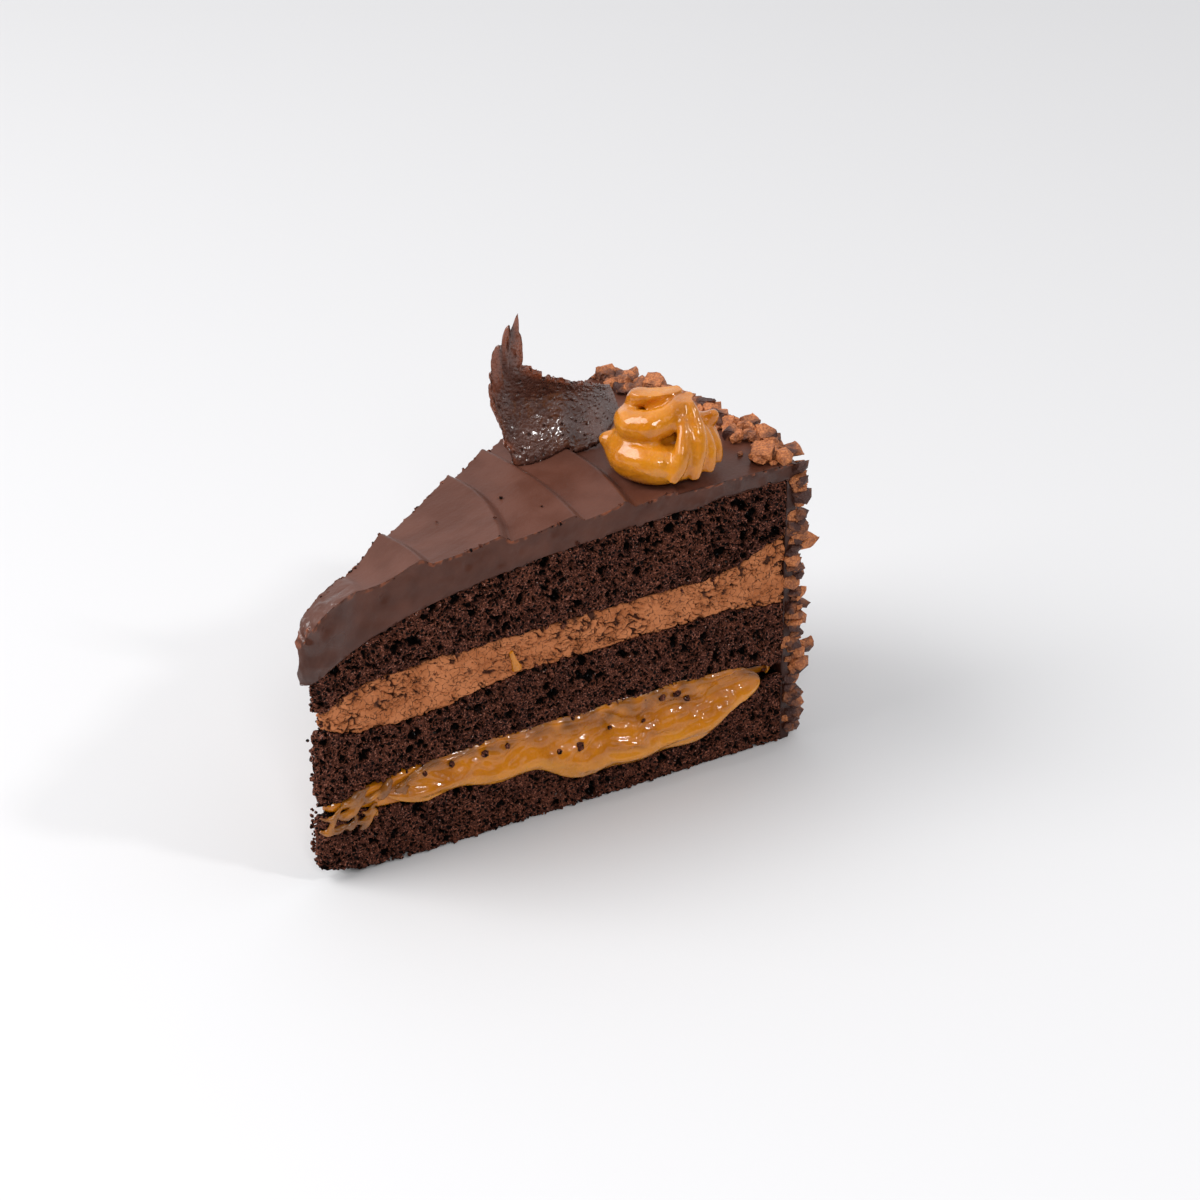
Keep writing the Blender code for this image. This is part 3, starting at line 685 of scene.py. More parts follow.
class FillingSettings(PropertyGroup):
    """Sizes and colours of the mousse and the caramel."""

    plate: length("Plate size", "Size of the mousse's smooth plates", 3.4 * MM)
    crack_depth: length("Crack depth", "Depth of the cracks in the mousse", 0.8 * MM)
    mousse_colour: colour("Mousse", "Colour of the mousse", (0.42, 0.130, 0.040))
    mousse_light: colour("Light mousse", "Colour of its paler patches", (0.57, 0.20, 0.075))
    # Painted shade: dark colour painted deep in the mousse's cracks and pits.
    mousse_crack: colour("Mousse crack", "Painted shade deep in its cracks", (0.07, 0.022, 0.010))
    lip_depth: length("Caramel lip", "How far the caramel stands out of the near face", 3.3 * MM)
    far_lip_depth: length("Far caramel lip", "How far it stands out of the far face", 2.2 * MM)
    caramel_colour: colour("Caramel", "Colour of thick caramel", (0.60, 0.194, 0.004))
    caramel_amber: colour("Amber caramel", "Colour of its clearer patches", (0.45, 0.134, 0.003))
    # Partly the caramel's own tan, partly painted light on the bulging belly.
    caramel_tan: colour("Tan caramel with painted light", "Tan of its belly, with painted light where it bulges", (0.73, 0.282, 0.018))
    # Partly thin caramel over crumb, partly painted shade under the sponge's overhang.
    caramel_film: colour("Caramel film", "Colour where it lies thin over the crumb, with painted shade under the overhang", (0.15, 0.050, 0.011))


class GanacheSettings(PropertyGroup):
    """Sizes and colours of the ganache."""

    columns: IntProperty(name="Columns", description="Mesh faces from tip to rim", default=400, min=60)
    rows: IntProperty(name="Rows", description="Mesh faces across the top", default=110, min=20)
    edge: length("Edge radius", "Roundness of the top edge", 0.5 * MM)
    ganache_colour: colour("Ganache", "Colour of the ganache", (0.094, 0.031, 0.018))
    ganache_light: colour("Light ganache", "Colour of its paler patches", (0.122, 0.045, 0.029))
    # Painted shade on the cut sides, the nose, the foot and the rim coat.
    ganache_dark: colour("Ganache painted shade", "Colour of its cut and moist sides", (0.034, 0.010, 0.006))
    ragged_colour: colour("Torn edge", "Colour of its thin torn edge", (0.21, 0.060, 0.026))


class ToppingSettings(PropertyGroup):
    """Sizes and colours of the shard, the rosette and the chopped chocolate."""

    shard_thickness: length("Shard thickness", "Thickness of the chocolate leaf", 1.0 * MM)
    shard_colour: colour("Shard", "Colour of the chocolate leaf", (0.070, 0.026, 0.018))
    shard_light: colour("Light shard", "Colour of its paler patches", (0.110, 0.042, 0.028))
    shard_edge: colour("Shard edge", "Colour of its torn edge", (0.22, 0.060, 0.026))
    rosette_voxel: length("Rosette mesh step", "Width of a mesh face on the rosette", 0.42 * MM)
    chunk_colour: colour("Chopped chocolate", "Colour of a chopped face", (0.36, 0.108, 0.034))
    chunk_light: colour("Light chopped face", "Colour of its grain", (0.60, 0.21, 0.070))
    chunk_dark: colour("Dark chopped side", "Colour of the darker sides", (0.060, 0.020, 0.014))
    chip_count: IntProperty(name="Chips", description="Flat chips pressed into the rim", default=330, min=0)
    chip_size: length("Chip size", "Width of a chip on the rim", 4.6 * MM)
    crumb_count: IntProperty(name="Crumbs", description="Loose crumbs along the edges", default=420, min=0)


class StageSettings(PropertyGroup):
    """The camera, the lights and the floor."""

    floor_colour: colour("Floor", "Colour of the floor", (0.70, 0.695, 0.70))
    lens: FloatProperty(name="Lens", description="Focal length in millimetres", default=107.87, min=1)
    key_power: FloatProperty(
        name="Key light", description="Power the lights take their shares of", default=10.0, unit="POWER"
    )
    fill: FloatProperty(name="Sky", description="Strength of the even light", default=0.85, min=0)


# ---- Relief of each food ----


def crumb_relief(settings, openness):
    """Relief of cut sponge: strands round small bubbles, larger holes where openness(spots, up) is high."""

    def relief(spots, up):
        bent = warped(spots, 0.45 * MM, 0.9 * MM, 3)
        near, _, owner = cells(bent, settings.void, 5)
        reach = 0.26 + 0.30 * owner / openness(spots, up)
        hole = ease(np.where(owner < openness(spots, up), reach - near, -1), 0, 0.10)
        inner, outer, kind = cells(bent, settings.strand, 9)
        bubble = ease(outer - inner, 0.10, 0.32) * ease(kind, 0.1, 0.8)
        small_inner, small_outer, _ = cells(spots, settings.strand * 0.48, 15)
        pore = ease(small_outer - small_inner, 0.05, 0.5) * 0.22 * MM
        depth = np.maximum(hole * settings.void_depth, bubble * settings.strand_depth) + pore
        lumps = 0.30 * MM * layered_noise(spots, 3.5 * MM, 17)
        # The second value is the depth; the sponge material paints shade from it, near black in the pits and
        # holes.
        return lumps - depth + 0.35 * MM, np.clip(depth / (1.6 * MM), 0, 1)

    return relief


def mousse_relief(settings):
    """Relief of cut mousse: smooth plates with broken cracks along the layer, pits and tears."""

    def relief(spots, up):
        stretch = np.array([1.0, 1.0, 2.1])
        bent = warped(warped(spots, 1.2 * MM, 2.4 * MM, 3), 0.4 * MM, 0.8 * MM, 7)
        inner, outer, kind = cells(bent * stretch, settings.plate, 5)
        where = ease(noise(spots, 4.5 * MM, 8), -0.55, 0.1) * ease(noise(spots, 1.3 * MM, 18), -0.5, 0.1)
        crack = (1 - ease(outer - inner, 0.03, 0.17)) * where
        inner, outer, _ = cells(bent * stretch, settings.plate * 0.5, 25)
        small = (1 - ease(outer - inner, 0.02, 0.18)) * ease(noise(spots, 2.6 * MM, 38), 0.05, 0.5)
        near, _, owner = cells(spots, 1.5 * MM, 11)
        pit = ease(0.30 - near, 0, 0.15) * (owner < 0.22)
        depth = crack * settings.crack_depth + small * 0.45 * MM + pit * 0.5 * MM
        plate = 0.28 * MM * (kind - 0.5) + 0.22 * MM * layered_noise(spots, 2.4 * MM, 29)
        # The second value is the depth; the mousse material paints shade from it, dark in the cracks and
        # pits.
        return plate - depth + 0.10 * MM, np.clip(depth / (0.8 * MM), 0, 1)

    return relief


# ---- Caramel ----

# How far each cut face's lip runs along its face, from the cake's centre.
NEAR_LIP_RUN = (22 * MM, 112 * MM)
FAR_LIP_RUN = (30 * MM, 102 * MM)
# Sizes of the lip's wrinkles along the face, through it and up it.
WRINKLE_LONG = np.array([8, 9, 2.6]) * MM
WRINKLE_SHORT = np.array([4.2, 9, 1.9]) * MM
WRINKLE_FINE = np.array([2.2, 9, 1.1]) * MM
STRING_COUNT = 26
STRING_SAMPLES = 9


def near_lip_low(r):
    drip = 5.4 * ease(r, 0.056, 0.071) - 6.5 * ease(r, 0.090, 0.108)
    scallop = 0.6 * np.sin(r / 0.0027) + 0.5 * np.sin(r / 0.0061 + 1)
    return (13.6 - 1.6 * ease(r, 0.028, 0.050) - drip + scallop) * MM


def near_lip_high(r):
    return (20.8 + 1.9 * ease(r, 0.024, 0.040) - 1.2 * ease(r, 0.098, 0.108) + 0.35 * np.sin(r / 0.0023)) * MM


def far_lip_low(r):
    return (12.2 + 1.2 * np.sin(r / 0.009) + 0.3 * np.sin(r / 0.0017)) * MM


def far_lip_high(r):
    return (21.8 + 0.4 * np.sin(r / 0.005)) * MM


def caramel_roll(side, depth, low, high, start, end):
    """A lip of caramel on one cut face: set back at its top, wrinkled in its middle, with a round belly."""
    bm, along, around = grid(int((end - start) / (0.3 * MM)), 72)
    r = start + (end - start) * along
    fullness = np.sqrt(np.clip(np.minimum(along / 0.10, (1 - along) / 0.05), 0, 1))
    back = np.clip((around - 0.8) / 0.2, 0, 1)
    down = np.where(around <= 0.8, around / 0.8, 1 - back)
    brim = 0.22 * ease(down, 0, 0.05) + 0.12 * np.exp(-(((down - 0.09) / 0.04) ** 2))
    shape = (brim + 0.78 * ease(down, 0.30, 0.72)) * np.sqrt(np.clip(1 - down**8, 0, 1))
    x, y = cut_face(r, side)
    middle, half = (high(r) + low(r)) / 2, (high(r) - low(r)) / 2 * fullness
    z = middle + half * (1 - 2 * down)
    face = np.column_stack([r, np.zeros_like(r), z])
    bent = warped(face, 1.2 * MM, 6 * MM, 4)
    wrinkle = noise(bent, WRINKLE_LONG, 3) * 0.6 + noise(bent, WRINKLE_SHORT, 8) * 0.4
    wrinkle = wrinkle * ease(down, 0.06, 0.3) * (1 - ease(down, 0.80, 1.0))
    swell = 0.75 + 0.35 * noise(face, 11 * MM, 5)
    fine_wrinkle = noise(bent, WRINKLE_FINE, 18) * (1 - ease(down, 0.5, 0.8))
    out = depth * shape * fullness * swell + (1.35 * wrinkle + 0.40 * fine_wrinkle) * fullness * MM
    out = np.where(around > 0.8, -0.9 * MM * np.sin(back * math.pi), np.maximum(out, 0.05 * MM))
    spots = np.column_stack([x, y, z]) + face_normal(side) * out[:, None]
    # The lower belly takes the paler tan: the caramel's own tan, with painted light where the belly bulges.
    tan = ease(down, 0.60, 0.80) * (0.75 + 0.25 * noise(face, 5 * MM, 6))
    # The upper zone is darkened: thin caramel over crumb, with painted shade under the sponge's overhang; the
    # thin left end darkens too.
    film = (1 - ease(down, 0.10, 0.42)) * (0.45 + 0.55 * noise(face, 2.2 * MM, 27))
    film = film + 0.25 * (1 - ease(along, 0, 0.2))
    place_all(bm, spots, tan=np.clip(tan, 0, 1), film=np.clip(film, 0, 0.85))
    close_open_edges(bm)
    return bm


def caramel_strings(rng):
    """Strings and a torn film of caramel between the lip and the tip, and one smear on the mousse."""
    outward = Vector(face_normal(-1))
    ropes = []
    for _ in range(STRING_COUNT):
        r, z = rng.uniform(9, 27) * MM, rng.uniform(12.0, 19.5) * MM
        lean = rng.uniform(-0.5, 0.9)
        span, radius = rng.uniform(2.0, 6.0) * MM, rng.uniform(0.32, 0.95) * MM
        rope = []
        for k in range(STRING_SAMPLES):
            t = k / (STRING_SAMPLES - 1) - 0.5
            along, height = t * span * math.cos(lean), t * span * math.sin(lean) + 0.5 * MM * math.sin(7 * t)
            x, y = cut_face(r + along, -1)
            spot = Vector((x, y, z + height)) + outward * (0.15 + 0.3 * math.cos(5 * t)) * MM
            rope.append((spot, radius * (1.25 - abs(t))))
        ropes.append(rope)
    smear = []
    for k in range(STRING_SAMPLES):
        t = k / (STRING_SAMPLES - 1)
        x, y = cut_face((51.2 + 1.4 * t) * MM, -1)
        spot = Vector((x, y, (42.6 - 4.6 * t) * MM)) + outward * 0.1 * MM
        smear.append((spot, (0.55 + 0.75 * t * t) * MM))
    ropes.append(smear)
    return ropes


# ---- Operators ----


class SpongeOperator(Operator):
    """Makes the three layers of dark sponge"""

    bl_idname = "cake_slice.make_sponge"
    bl_label = "Sponge Layers"

    def execute(self, context):
        settings = context.scene.cake_sponge
        material = sponge_material(settings)

        def even(spots, up):
            return np.full(len(spots), 0.40)

        def open_at_rim(spots, up):
            return 0.40 + 0.22 * ease(up, 0.5, 0.9) + 0.25 * ease(spots[:, 0], 0.085, 0.105)

        def above(surface):
            return lambda x: surface(x) + FIT_GAP

        layers = (
            ("bottom_crumb", "sponge_bottom", underside, bottom_sponge_top, even),
            ("middle_crumb", "sponge_middle", above(caramel_top), middle_sponge_top, even),
            ("top_crumb", "sponge_top", above(mousse_top), top_sponge_top, open_at_rim),
        )
        for name, node, low, high, openness in layers:
            relief = crumb_relief(settings, openness)
            bm = wall(TIP_DISTANCE, low, high, settings.steps(), relief, settings.ragged)
            add_piece(name, bm, material, [node])
        return {"FINISHED"}


class MousseOperator(Operator):
    """Makes the layer of chocolate mousse"""

    bl_idname = "cake_slice.make_mousse"
    bl_label = "Mousse"

    def execute(self, context):
        settings, sponge = context.scene.cake_filling, context.scene.cake_sponge
        bm = wall(
            MOUSSE_TIP_DISTANCE,
            lambda x: middle_sponge_top(x) + FIT_GAP,
            mousse_top,
            sponge.steps(),
            mousse_relief(settings),
            0.7 * MM,
        )
        add_piece("mousse_cut", bm, mousse_material(settings), ["mousse_layer"])
        return {"FINISHED"}


class CaramelOperator(Operator):
    """Makes the caramel layer with its lips, strings and film"""

    bl_idname = "cake_slice.make_caramel"
    bl_label = "Caramel"

    def execute(self, context):
        settings = context.scene.cake_filling

        def calm(spots, up):
            sunk = 0.5 * MM * layered_noise(spots, 4 * MM, 3) - 0.3 * MM
            return sunk - 2.4 * MM * ease(spots[:, 0], 98 * MM, 106 * MM), np.zeros(len(spots))

        bm = wall(
            MOUSSE_TIP_DISTANCE,
            lambda x: bottom_sponge_top(x) + FIT_GAP,
            caramel_top,
            (0.6 * MM, 0.6 * MM, 1.5 * MM),
            calm,
            0,
        )
        append_bmesh(bm, caramel_roll(-1, settings.lip_depth, near_lip_low, near_lip_high, *NEAR_LIP_RUN))
        append_bmesh(bm, caramel_roll(1, settings.far_lip_depth, far_lip_low, far_lip_high, *FAR_LIP_RUN))
        strings = rope_mesh(caramel_strings(random.Random(4)), 0.3 * MM)
        spots = places_of(strings)
        film = (0.60 + 0.5 * noise(spots, 2 * MM, 27)) * (spots[:, 0] < 40 * MM)
        place_all(strings, spots, film=np.clip(film, 0, 0.9), tan=np.full(len(spots), 0.3))
        append_bmesh(bm, strings)
        add_piece("caramel_flow", bm, caramel_material(settings), ["caramel_layer"])
        return {"FINISHED"}


class GanacheOperator(Operator):
    """Makes the ganache over the top and down the rim"""

    bl_idname = "cake_slice.make_ganache"
    bl_label = "Ganache"

    def execute(self, context):
        settings = context.scene.cake_ganache
        bm = ganache_slab(settings)
        append_bmesh(bm, ganache_coat())
        add_piece("ganache_frosting", bm, ganache_material(settings), ["ganache"])
        return {"FINISHED"}


# Sizes of the spatula's streaks along the slice, across it and up it.
STREAK_BROAD = np.array([16, 1.1, 5]) * MM
STREAK_FINE = np.array([7, 0.5, 5]) * MM
SIDE_CUTS = 22


def ganache_slab(settings):
    """The frosting over the top sponge, with its spatula strokes, torn near edge and moist nose."""
    bm, along, across = grid(settings.columns, settings.rows)
    along, across = along**1.15, across * 2 - 1
    nose = FROSTING_TIP + TIP_ROUNDING * (1 - np.sqrt(1 - across**2))
    r = nose + (RIM_RADIUS - nose) * along
    x, y = r * np.cos(across * HALF_ANGLE), r * np.sin(across * HALF_ANGLE)
    y = y - np.maximum(0, across) * far_inset(x)
    y = y + across * 1.3 * MM * np.exp(-(((x - FROSTING_TIP - 3 * MM) / (8 * MM)) ** 2))
    place_all(bm, np.column_stack([x, y, frosting_top(x, y)]))
    border = [edge for edge in bm.edges if edge.is_boundary]
    falling = bmesh.ops.extrude_edge_only(bm, edges=border)["geom"]
    for item in falling:
        if isinstance(item, bmesh.types.BMVert):
            item.co.z = min(top_sponge_top(item.co.x) + FIT_GAP, item.co.z - 0.2 * MM)
    lowered = {item for item in falling if isinstance(item, bmesh.types.BMVert)}
    upright = [edge for edge in bm.edges if (edge.verts[0] in lowered) != (edge.verts[1] in lowered)]
    bmesh.ops.subdivide_edges(bm, edges=upright, cuts=SIDE_CUTS, use_grid_fill=True)
    bmesh.ops.bevel(
        bm,
        geom=border,
        offset=settings.edge,
        offset_type="OFFSET",
        segments=3,
        profile=0.5,
        affect="EDGES",
        material=-1,
        clamp_overlap=True,
    )
    close_open_edges(bm)
    spots, outward = places_of(bm), directions_of(bm)
    top = frosting_top(np.maximum(spots[:, 0], FROSTING_TIP + 0.1 * MM), spots[:, 1])
    below = top - spots[:, 2]
    on_side = 1 - ease(np.abs(outward[:, 2]), 0.3, 0.7)
    streaks = noise(spots, STREAK_BROAD, 3) + 0.6 * noise(spots, STREAK_FINE, 9)
    lift = 0.018 * MM * streaks * (1 - on_side) + 0.16 * MM * layered_noise(spots, 8 * MM, 5) * (1 - on_side)
    slanted = spots @ np.array([[1, 0, 0.35], [0, 1, 0], [-0.35, 0, 1]])
    lift += on_side * 0.34 * MM * noise(slanted, np.array([9, 9, 2.2]) * MM, 12)
    lift += on_side * 0.30 * MM * layered_noise(spots, 2.6 * MM, 14)
    dent, _, owner = cells(spots, 5 * MM, 6)
    lift -= on_side * 0.5 * MM * ease(0.34 - dent, 0, 0.3) * (owner < 0.4)
    near_edge = ease(below, -0.3 * MM, 0.15 * MM) * (1 - ease(below, 0.35 * MM, 0.8 * MM))
    near_edge = near_edge * ease(on_side, 0.0, 0.3)
    tooth = ease(noise(spots, 0.75 * MM, 33), 0.0, 0.6) * near_edge
    at_nose = 1 - ease(spots[:, 0], 10 * MM, 22 * MM)
    lift += 0.35 * MM * tooth + at_nose * 0.35 * MM * layered_noise(spots, 2.4 * MM, 44)
    foot = on_side * (1 - ease(spots[:, 2] - top_sponge_top(spots[:, 0]), 0, 1.6 * MM))
    spots = spots + outward * lift[:, None]
    spots[:, 2] -= foot * 2.2 * MM * np.abs(layered_noise(spots, 2.2 * MM, 51))
    at_rim = ease(spots[:, 0], 85 * MM, 110 * MM) * on_side
    moist = at_nose * ease(noise(spots, 3 * MM, 61), -0.3, 0.4)
    moist = moist + at_rim * ease(noise(spots, 2 * MM, 63), -0.3, 0.3)
    moist = np.clip(moist + 0.7 * foot * ease(noise(spots, 1.2 * MM, 62), 0, 0.5), 0, 1)
    # Painted shade: the cut sides, the nose, the foot and the rim side are painted darker.
    shade = on_side * (0.30 + 0.22 * noise(spots, 2.4 * MM, 64)) + 0.22 * at_nose + 0.2 * foot + 0.25 * at_rim
    place_all(bm, spots, moist=moist, ragged=np.clip(tooth * 1.5, 0, 1), shade=np.clip(shade, 0, 1))
    return bm


def ganache_coat():
    """The coat of ganache down the rim, as far out as the chopped chocolate is pressed in."""
    bm, along, up = grid(74, 84)
    angle = (along * 2 - 1) * HALF_ANGLE
    x, y = RIM_RADIUS * np.cos(angle), RIM_RADIUS * np.sin(angle)
    spots = np.column_stack([x, y, up * (top_sponge_top(x) + FIT_GAP)])
    lumps = 0.7 * MM * layered_noise(spots, 2.6 * MM, 3) - 0.3 * MM
    spots[:, 0] += lumps * np.cos(angle)
    spots[:, 1] += lumps * np.sin(angle)
    place_all(bm, spots, moist=np.zeros(len(spots)), ragged=np.zeros(len(spots)))
    inner = bmesh.ops.extrude_face_region(bm, geom=bm.faces[:])["geom"]
    back = {item for item in inner if isinstance(item, bmesh.types.BMVert)}
    for vert in back:
        spoke = Vector((vert.co.x, vert.co.y, 0))
        vert.co -= spoke.normalized() * (spoke.length - LAYER_RADIUS - FIT_GAP)
    through = [edge for edge in bm.edges if (edge.verts[0] in back) != (edge.verts[1] in back)]
    bmesh.ops.subdivide_edges(bm, edges=through, cuts=5, use_grid_fill=True)
    bmesh.ops.recalc_face_normals(bm, faces=bm.faces[:])
    spots, outward = places_of(bm), directions_of(bm)
    on_cut = ease(np.abs(outward[:, 1]), 0.3, 0.6)
    lift = on_cut * (0.45 * layered_noise(spots, 2.0 * MM, 8) - 0.25) * MM
    moist = on_cut * ease(noise(spots, 2 * MM, 63), -0.3, 0.3)
    # Painted shade: the whole coat down the rim is painted darker.
    place_all(bm, spots + outward * lift[:, None], moist=moist, shade=np.full(len(spots), 0.9))
    return bm


# ---- Toppings ----

# The shard's ribs: share of its length, foot (x, y), the foot's height above the ganache, top (x, y, z).
SHARD_RIBS = (
    (0.00, (71.8, 11.0), 0.7, (75.2, 10.9, 102.2)),
    (0.07, (73.0, 9.4), 0.7, (75.8, 10.5, 92.6)),
    (0.16, (75.2, 7.9), 0.7, (77.4, 9.2, 89.6)),
    (0.42, (82.5, 5.6), 0.8, (84.0, 9.3, 85.4)),
    (0.72, (91.8, 4.8), 1.4, (94.5, 11.3, 79.8)),
    (1.00, (101.8, 9.0), 3.0, (103.3, 13.6, 75.0)),
)


def rib_at(along):
    """(foot, top) of the shard at a share of its length, on a smooth curve through the ribs."""
    rows = [
        (share, np.array([*foot, lift]) * MM, np.array(top) * MM) for share, foot, lift, top in SHARD_RIBS
    ]
    last = len(rows) - 1
    i = max(k for k in range(last) if rows[k][0] <= along or k == 0)
    before, after = rows[max(0, i - 1)], rows[min(last, i + 2)]
    start, end = rows[i], rows[i + 1]
    t = (along - start[0]) / (end[0] - start[0])
    curved = []
    for k in (1, 2):
        leave = (end[k] - before[k]) * (end[0] - start[0]) / (end[0] - before[0])
        arrive = (after[k] - start[k]) * (end[0] - start[0]) / (after[0] - start[0])
        bend = 2 * (start[k] - end[k]) + leave + arrive
        turn = 3 * (end[k] - start[k]) - 2 * leave - arrive
        curved.append(start[k] + leave * t + turn * t**2 + bend * t**3)
    return curved


def shard_bmesh(settings):
    """A cupped leaf of chocolate with bubbles, pits and a torn edge."""
    columns, rows = 190, 110
    bm, along, up = grid(columns, rows)
    ribs = [rib_at(i / columns) for i in range(columns + 1)]
    column = np.rint(along * columns).astype(int)
    foot = np.array([rib[0] for rib in ribs])
    foot[:, 2] += frosting_top(foot[:, 0], foot[:, 1])
    top = np.array([rib[1] for rib in ribs])
    flat = np.column_stack([along * 34, up * 24, np.zeros_like(up)]) * MM
    tear = 1.5 * layered_noise(flat, 1.6 * MM, 6)
    edge = np.maximum(1 - ease(along, 0, 0.10), ease(up, 0.92, 1.0))
    up_torn = up * (1 + 0.05 * tear * edge * ease(up, 0.3, 1)) - 0.03 * ease(up, 0.9, 1)
    spots = foot[column] + (top - foot)[column] * up_torn[:, None]
    swell = np.sin(math.pi * np.clip(up_torn, 0, 1) ** 1.25)
    side, back = np.array([-0.72, 0.69, 0]), np.array([0.69, 0.72, 0])
    spots += side * (5.3 * MM * swell * (1 - ease(along, 0.0, 0.5)))[:, None]
    spots += back * (3.6 * MM * swell * (0.35 + 0.65 * np.sin(math.pi * along)))[:, None]
    spots += side * (0.7 * MM * tear * (1 - ease(along, 0, 0.05)))[:, None]
    near, _, owner = cells(flat, 1.5 * MM, 3)
    pit = ease(0.36 - near, 0, 0.25) * (owner < 0.4)
    fine, _, tone = cells(flat, 1.3 * MM, 13)
    bead = ease(0.46 - fine, 0, 0.36) * (0.4 + 0.6 * ease(along, 0.3, 0.8)) * (0.3 + 0.7 * tone)
    lift = 0.5 * layered_noise(flat, 4 * MM, 9) - 0.8 * pit + 0.75 * bead
    spots -= back * (lift * MM)[:, None]
    place_all(bm, spots, ragged=np.clip(edge * (0.6 + tear), 0, 1))
    bmesh.ops.solidify(bm, geom=bm.faces[:], thickness=settings.shard_thickness)
    bmesh.ops.recalc_face_normals(bm, faces=bm.faces[:])
    return bm


class ShardOperator(Operator):
    """Makes the leaf of dark chocolate"""

    bl_idname = "cake_slice.make_shard"
    bl_label = "Chocolate Shard"

    def execute(self, context):
        settings = context.scene.cake_topping
        add_piece("shard_leaf", shard_bmesh(settings), shard_material(settings), ["chocolate_shard"])
        return {"FINISHED"}


# The rosette's folds: bends of each rope as (to the right, away, up, radius), seen from the near corner.
ROSETTE_FOLDS = (
    (
        (-3.0, 3.4, 9.6, 2.4),
        (-6.2, 0.8, 10.0, 2.6),
        (-5.2, -3.0, 10.0, 3.1),
        (-1.6, -4.6, 10.6, 3.3),
        (2.0, -4.0, 11.8, 2.9),
        (4.2, -2.6, 14.0, 2.1),
        (5.6, -0.8, 16.4, 1.2),
        (5.9, 0.4, 17.8, 0.6),
    ),
    (
        (-4.6, 2.5, 12.0, 2.0),
        (-3.8, 1.0, 14.2, 2.2),
        (-1.2, 0.4, 15.4, 2.0),
        (1.8, 1.2, 15.2, 1.7),
        (4.4, 2.6, 14.6, 1.5),
    ),
    ((4, 3, 6.5, 3.0), (7.4, 1.4, 8.0, 2.8), (10.0, 0.0, 10.0, 1.6), (11.0, -0.6, 12.0, 0.8)),
    ((-7.4, 1.5, 4.6, 2.6), (-9.8, 0.8, 5.2, 1.6), (-11.2, 0.6, 4.8, 0.8)),
    ((-2.0, 1.4, 11.5, 2.8), (1.0, 1.2, 13.0, 2.6), (3.6, 1.2, 13.8, 2.0)),
    ((0, 0, 3, 6.0), (0.4, 0, 6, 5.6), (0.8, 0, 10.0, 4.0)),
)
# Pleats on the right: angle round the rosette in degrees, lean, how far up they run, and their thickness.
ROSETTE_PLEATS = (
    (-66, 30, 12.0, 1.7),
    (-44, 26, 14.5, 1.8),
    (-26, 20, 11.0, 1.7),
    (-6, 14, 9.5, 1.6),
    (16, 10, 9.0, 1.5),
)
RING_SAMPLES = 60
PLEAT_SAMPLES = 14
# How far right of its centre the bottom ring and the pleats are centred, in millimetres.
RING_SHIFT = 0.9
ROSETTE_PLACE = (93.1 * MM, -11.2 * MM)
ROSETTE_SCALE = 1.08
ROSETTE_MARGIN = 1.2 * MM
ROSETTE_RIGHT = Vector((0.7178, -0.6963, 0))
ROSETTE_AWAY = Vector((0.6963, 0.7178, 0))


def rosette_ropes():
    """Folds of piped caramel: a fat bottom ring, bands that sweep up to the peak, and pleats on the right."""

    def spot(right, away, up):
        return (ROSETTE_RIGHT * right + ROSETTE_AWAY * away + Vector((0, 0, up))) * MM

    ropes = []
    for fold in ROSETTE_FOLDS:
        rows = np.array(fold)
        places = np.linspace(0, len(rows) - 1, 8 * len(rows))
        curve = [np.interp(places, np.arange(len(rows)), rows[:, k]) for k in range(4)]
        curve = [np.convolve(np.pad(line, 3, mode="edge"), np.ones(7) / 7, mode="valid") for line in curve]
        ropes.append([(spot(*point[:3]), point[3] * MM) for point in zip(*curve)])
    ring = []
    for k in range(RING_SAMPLES + 1):
        angle = math.tau * k / RING_SAMPLES
        bead = 4.3 - 0.8 * max(0, math.cos(angle + 0.3))
        ring.append((spot(RING_SHIFT + 6.9 * math.cos(angle), 6.6 * math.sin(angle), 3.7), bead * MM))
    ropes.append(ring)
    for degrees, lean, reach, thick in ROSETTE_PLEATS:
        rope = []
        for i in range(PLEAT_SAMPLES):
            share = i / (PLEAT_SAMPLES - 1)
            turn = math.radians(degrees + lean * (share - 0.5))
            out = 10.8 - 5.2 * share**1.7
            swell = math.sin(math.pi * (0.18 + 0.74 * share))
            place = spot(RING_SHIFT + out * math.cos(turn), out * math.sin(turn), 1.8 + reach * share)
            rope.append((place, thick * swell * MM))
        ropes.append(rope)
    return ropes


class RosetteOperator(Operator):
    """Makes the piped caramel rosette"""

    bl_idname = "cake_slice.make_rosette"
    bl_label = "Caramel Rosette"

    def execute(self, context):
        settings = context.scene.cake_topping
        low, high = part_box("caramel_rosette")
        bm = rope_mesh(rosette_ropes(), settings.rosette_voxel, smoothing=3)
        spots = places_of(bm)
        spots = spots * ROSETTE_SCALE + ORIGIN + np.array([*ROSETTE_PLACE, low.z])
        spots = np.clip(spots, np.array(low) - ROSETTE_MARGIN, np.array(high) + ROSETTE_MARGIN)
        spots[:, 2] = np.maximum(spots[:, 2], low.z + 0.9 * MM * (1 - ease(spots[:, 2] - low.z, 0, 2 * MM)))
        directions = directions_of(bm)
        folds = noise(spots, np.array([2.6, 2.6, 9]) * MM, 5) * 0.20 + noise(spots, 1.4 * MM, 15) * 0.06
        spots = spots + directions * (folds * MM)[:, None]
        place_all(bm, spots, tan=np.clip(0.25 + 0.5 * layered_noise(spots, 5 * MM, 3), 0, 0.6))
        bmesh.ops.recalc_face_normals(bm, faces=bm.faces[:])
        material = caramel_material(context.scene.cake_filling)
        add_piece("rosette_piping", bm, material, ["caramel_rosette"], shift=False)
        return {"FINISHED"}


RIM_CHUNK_SCALE = 0.88
RIM_CHUNK_SINK = 0.8 * MM
CORNER_CHIPS = 230
RIM_TOP_CHIPS = 150


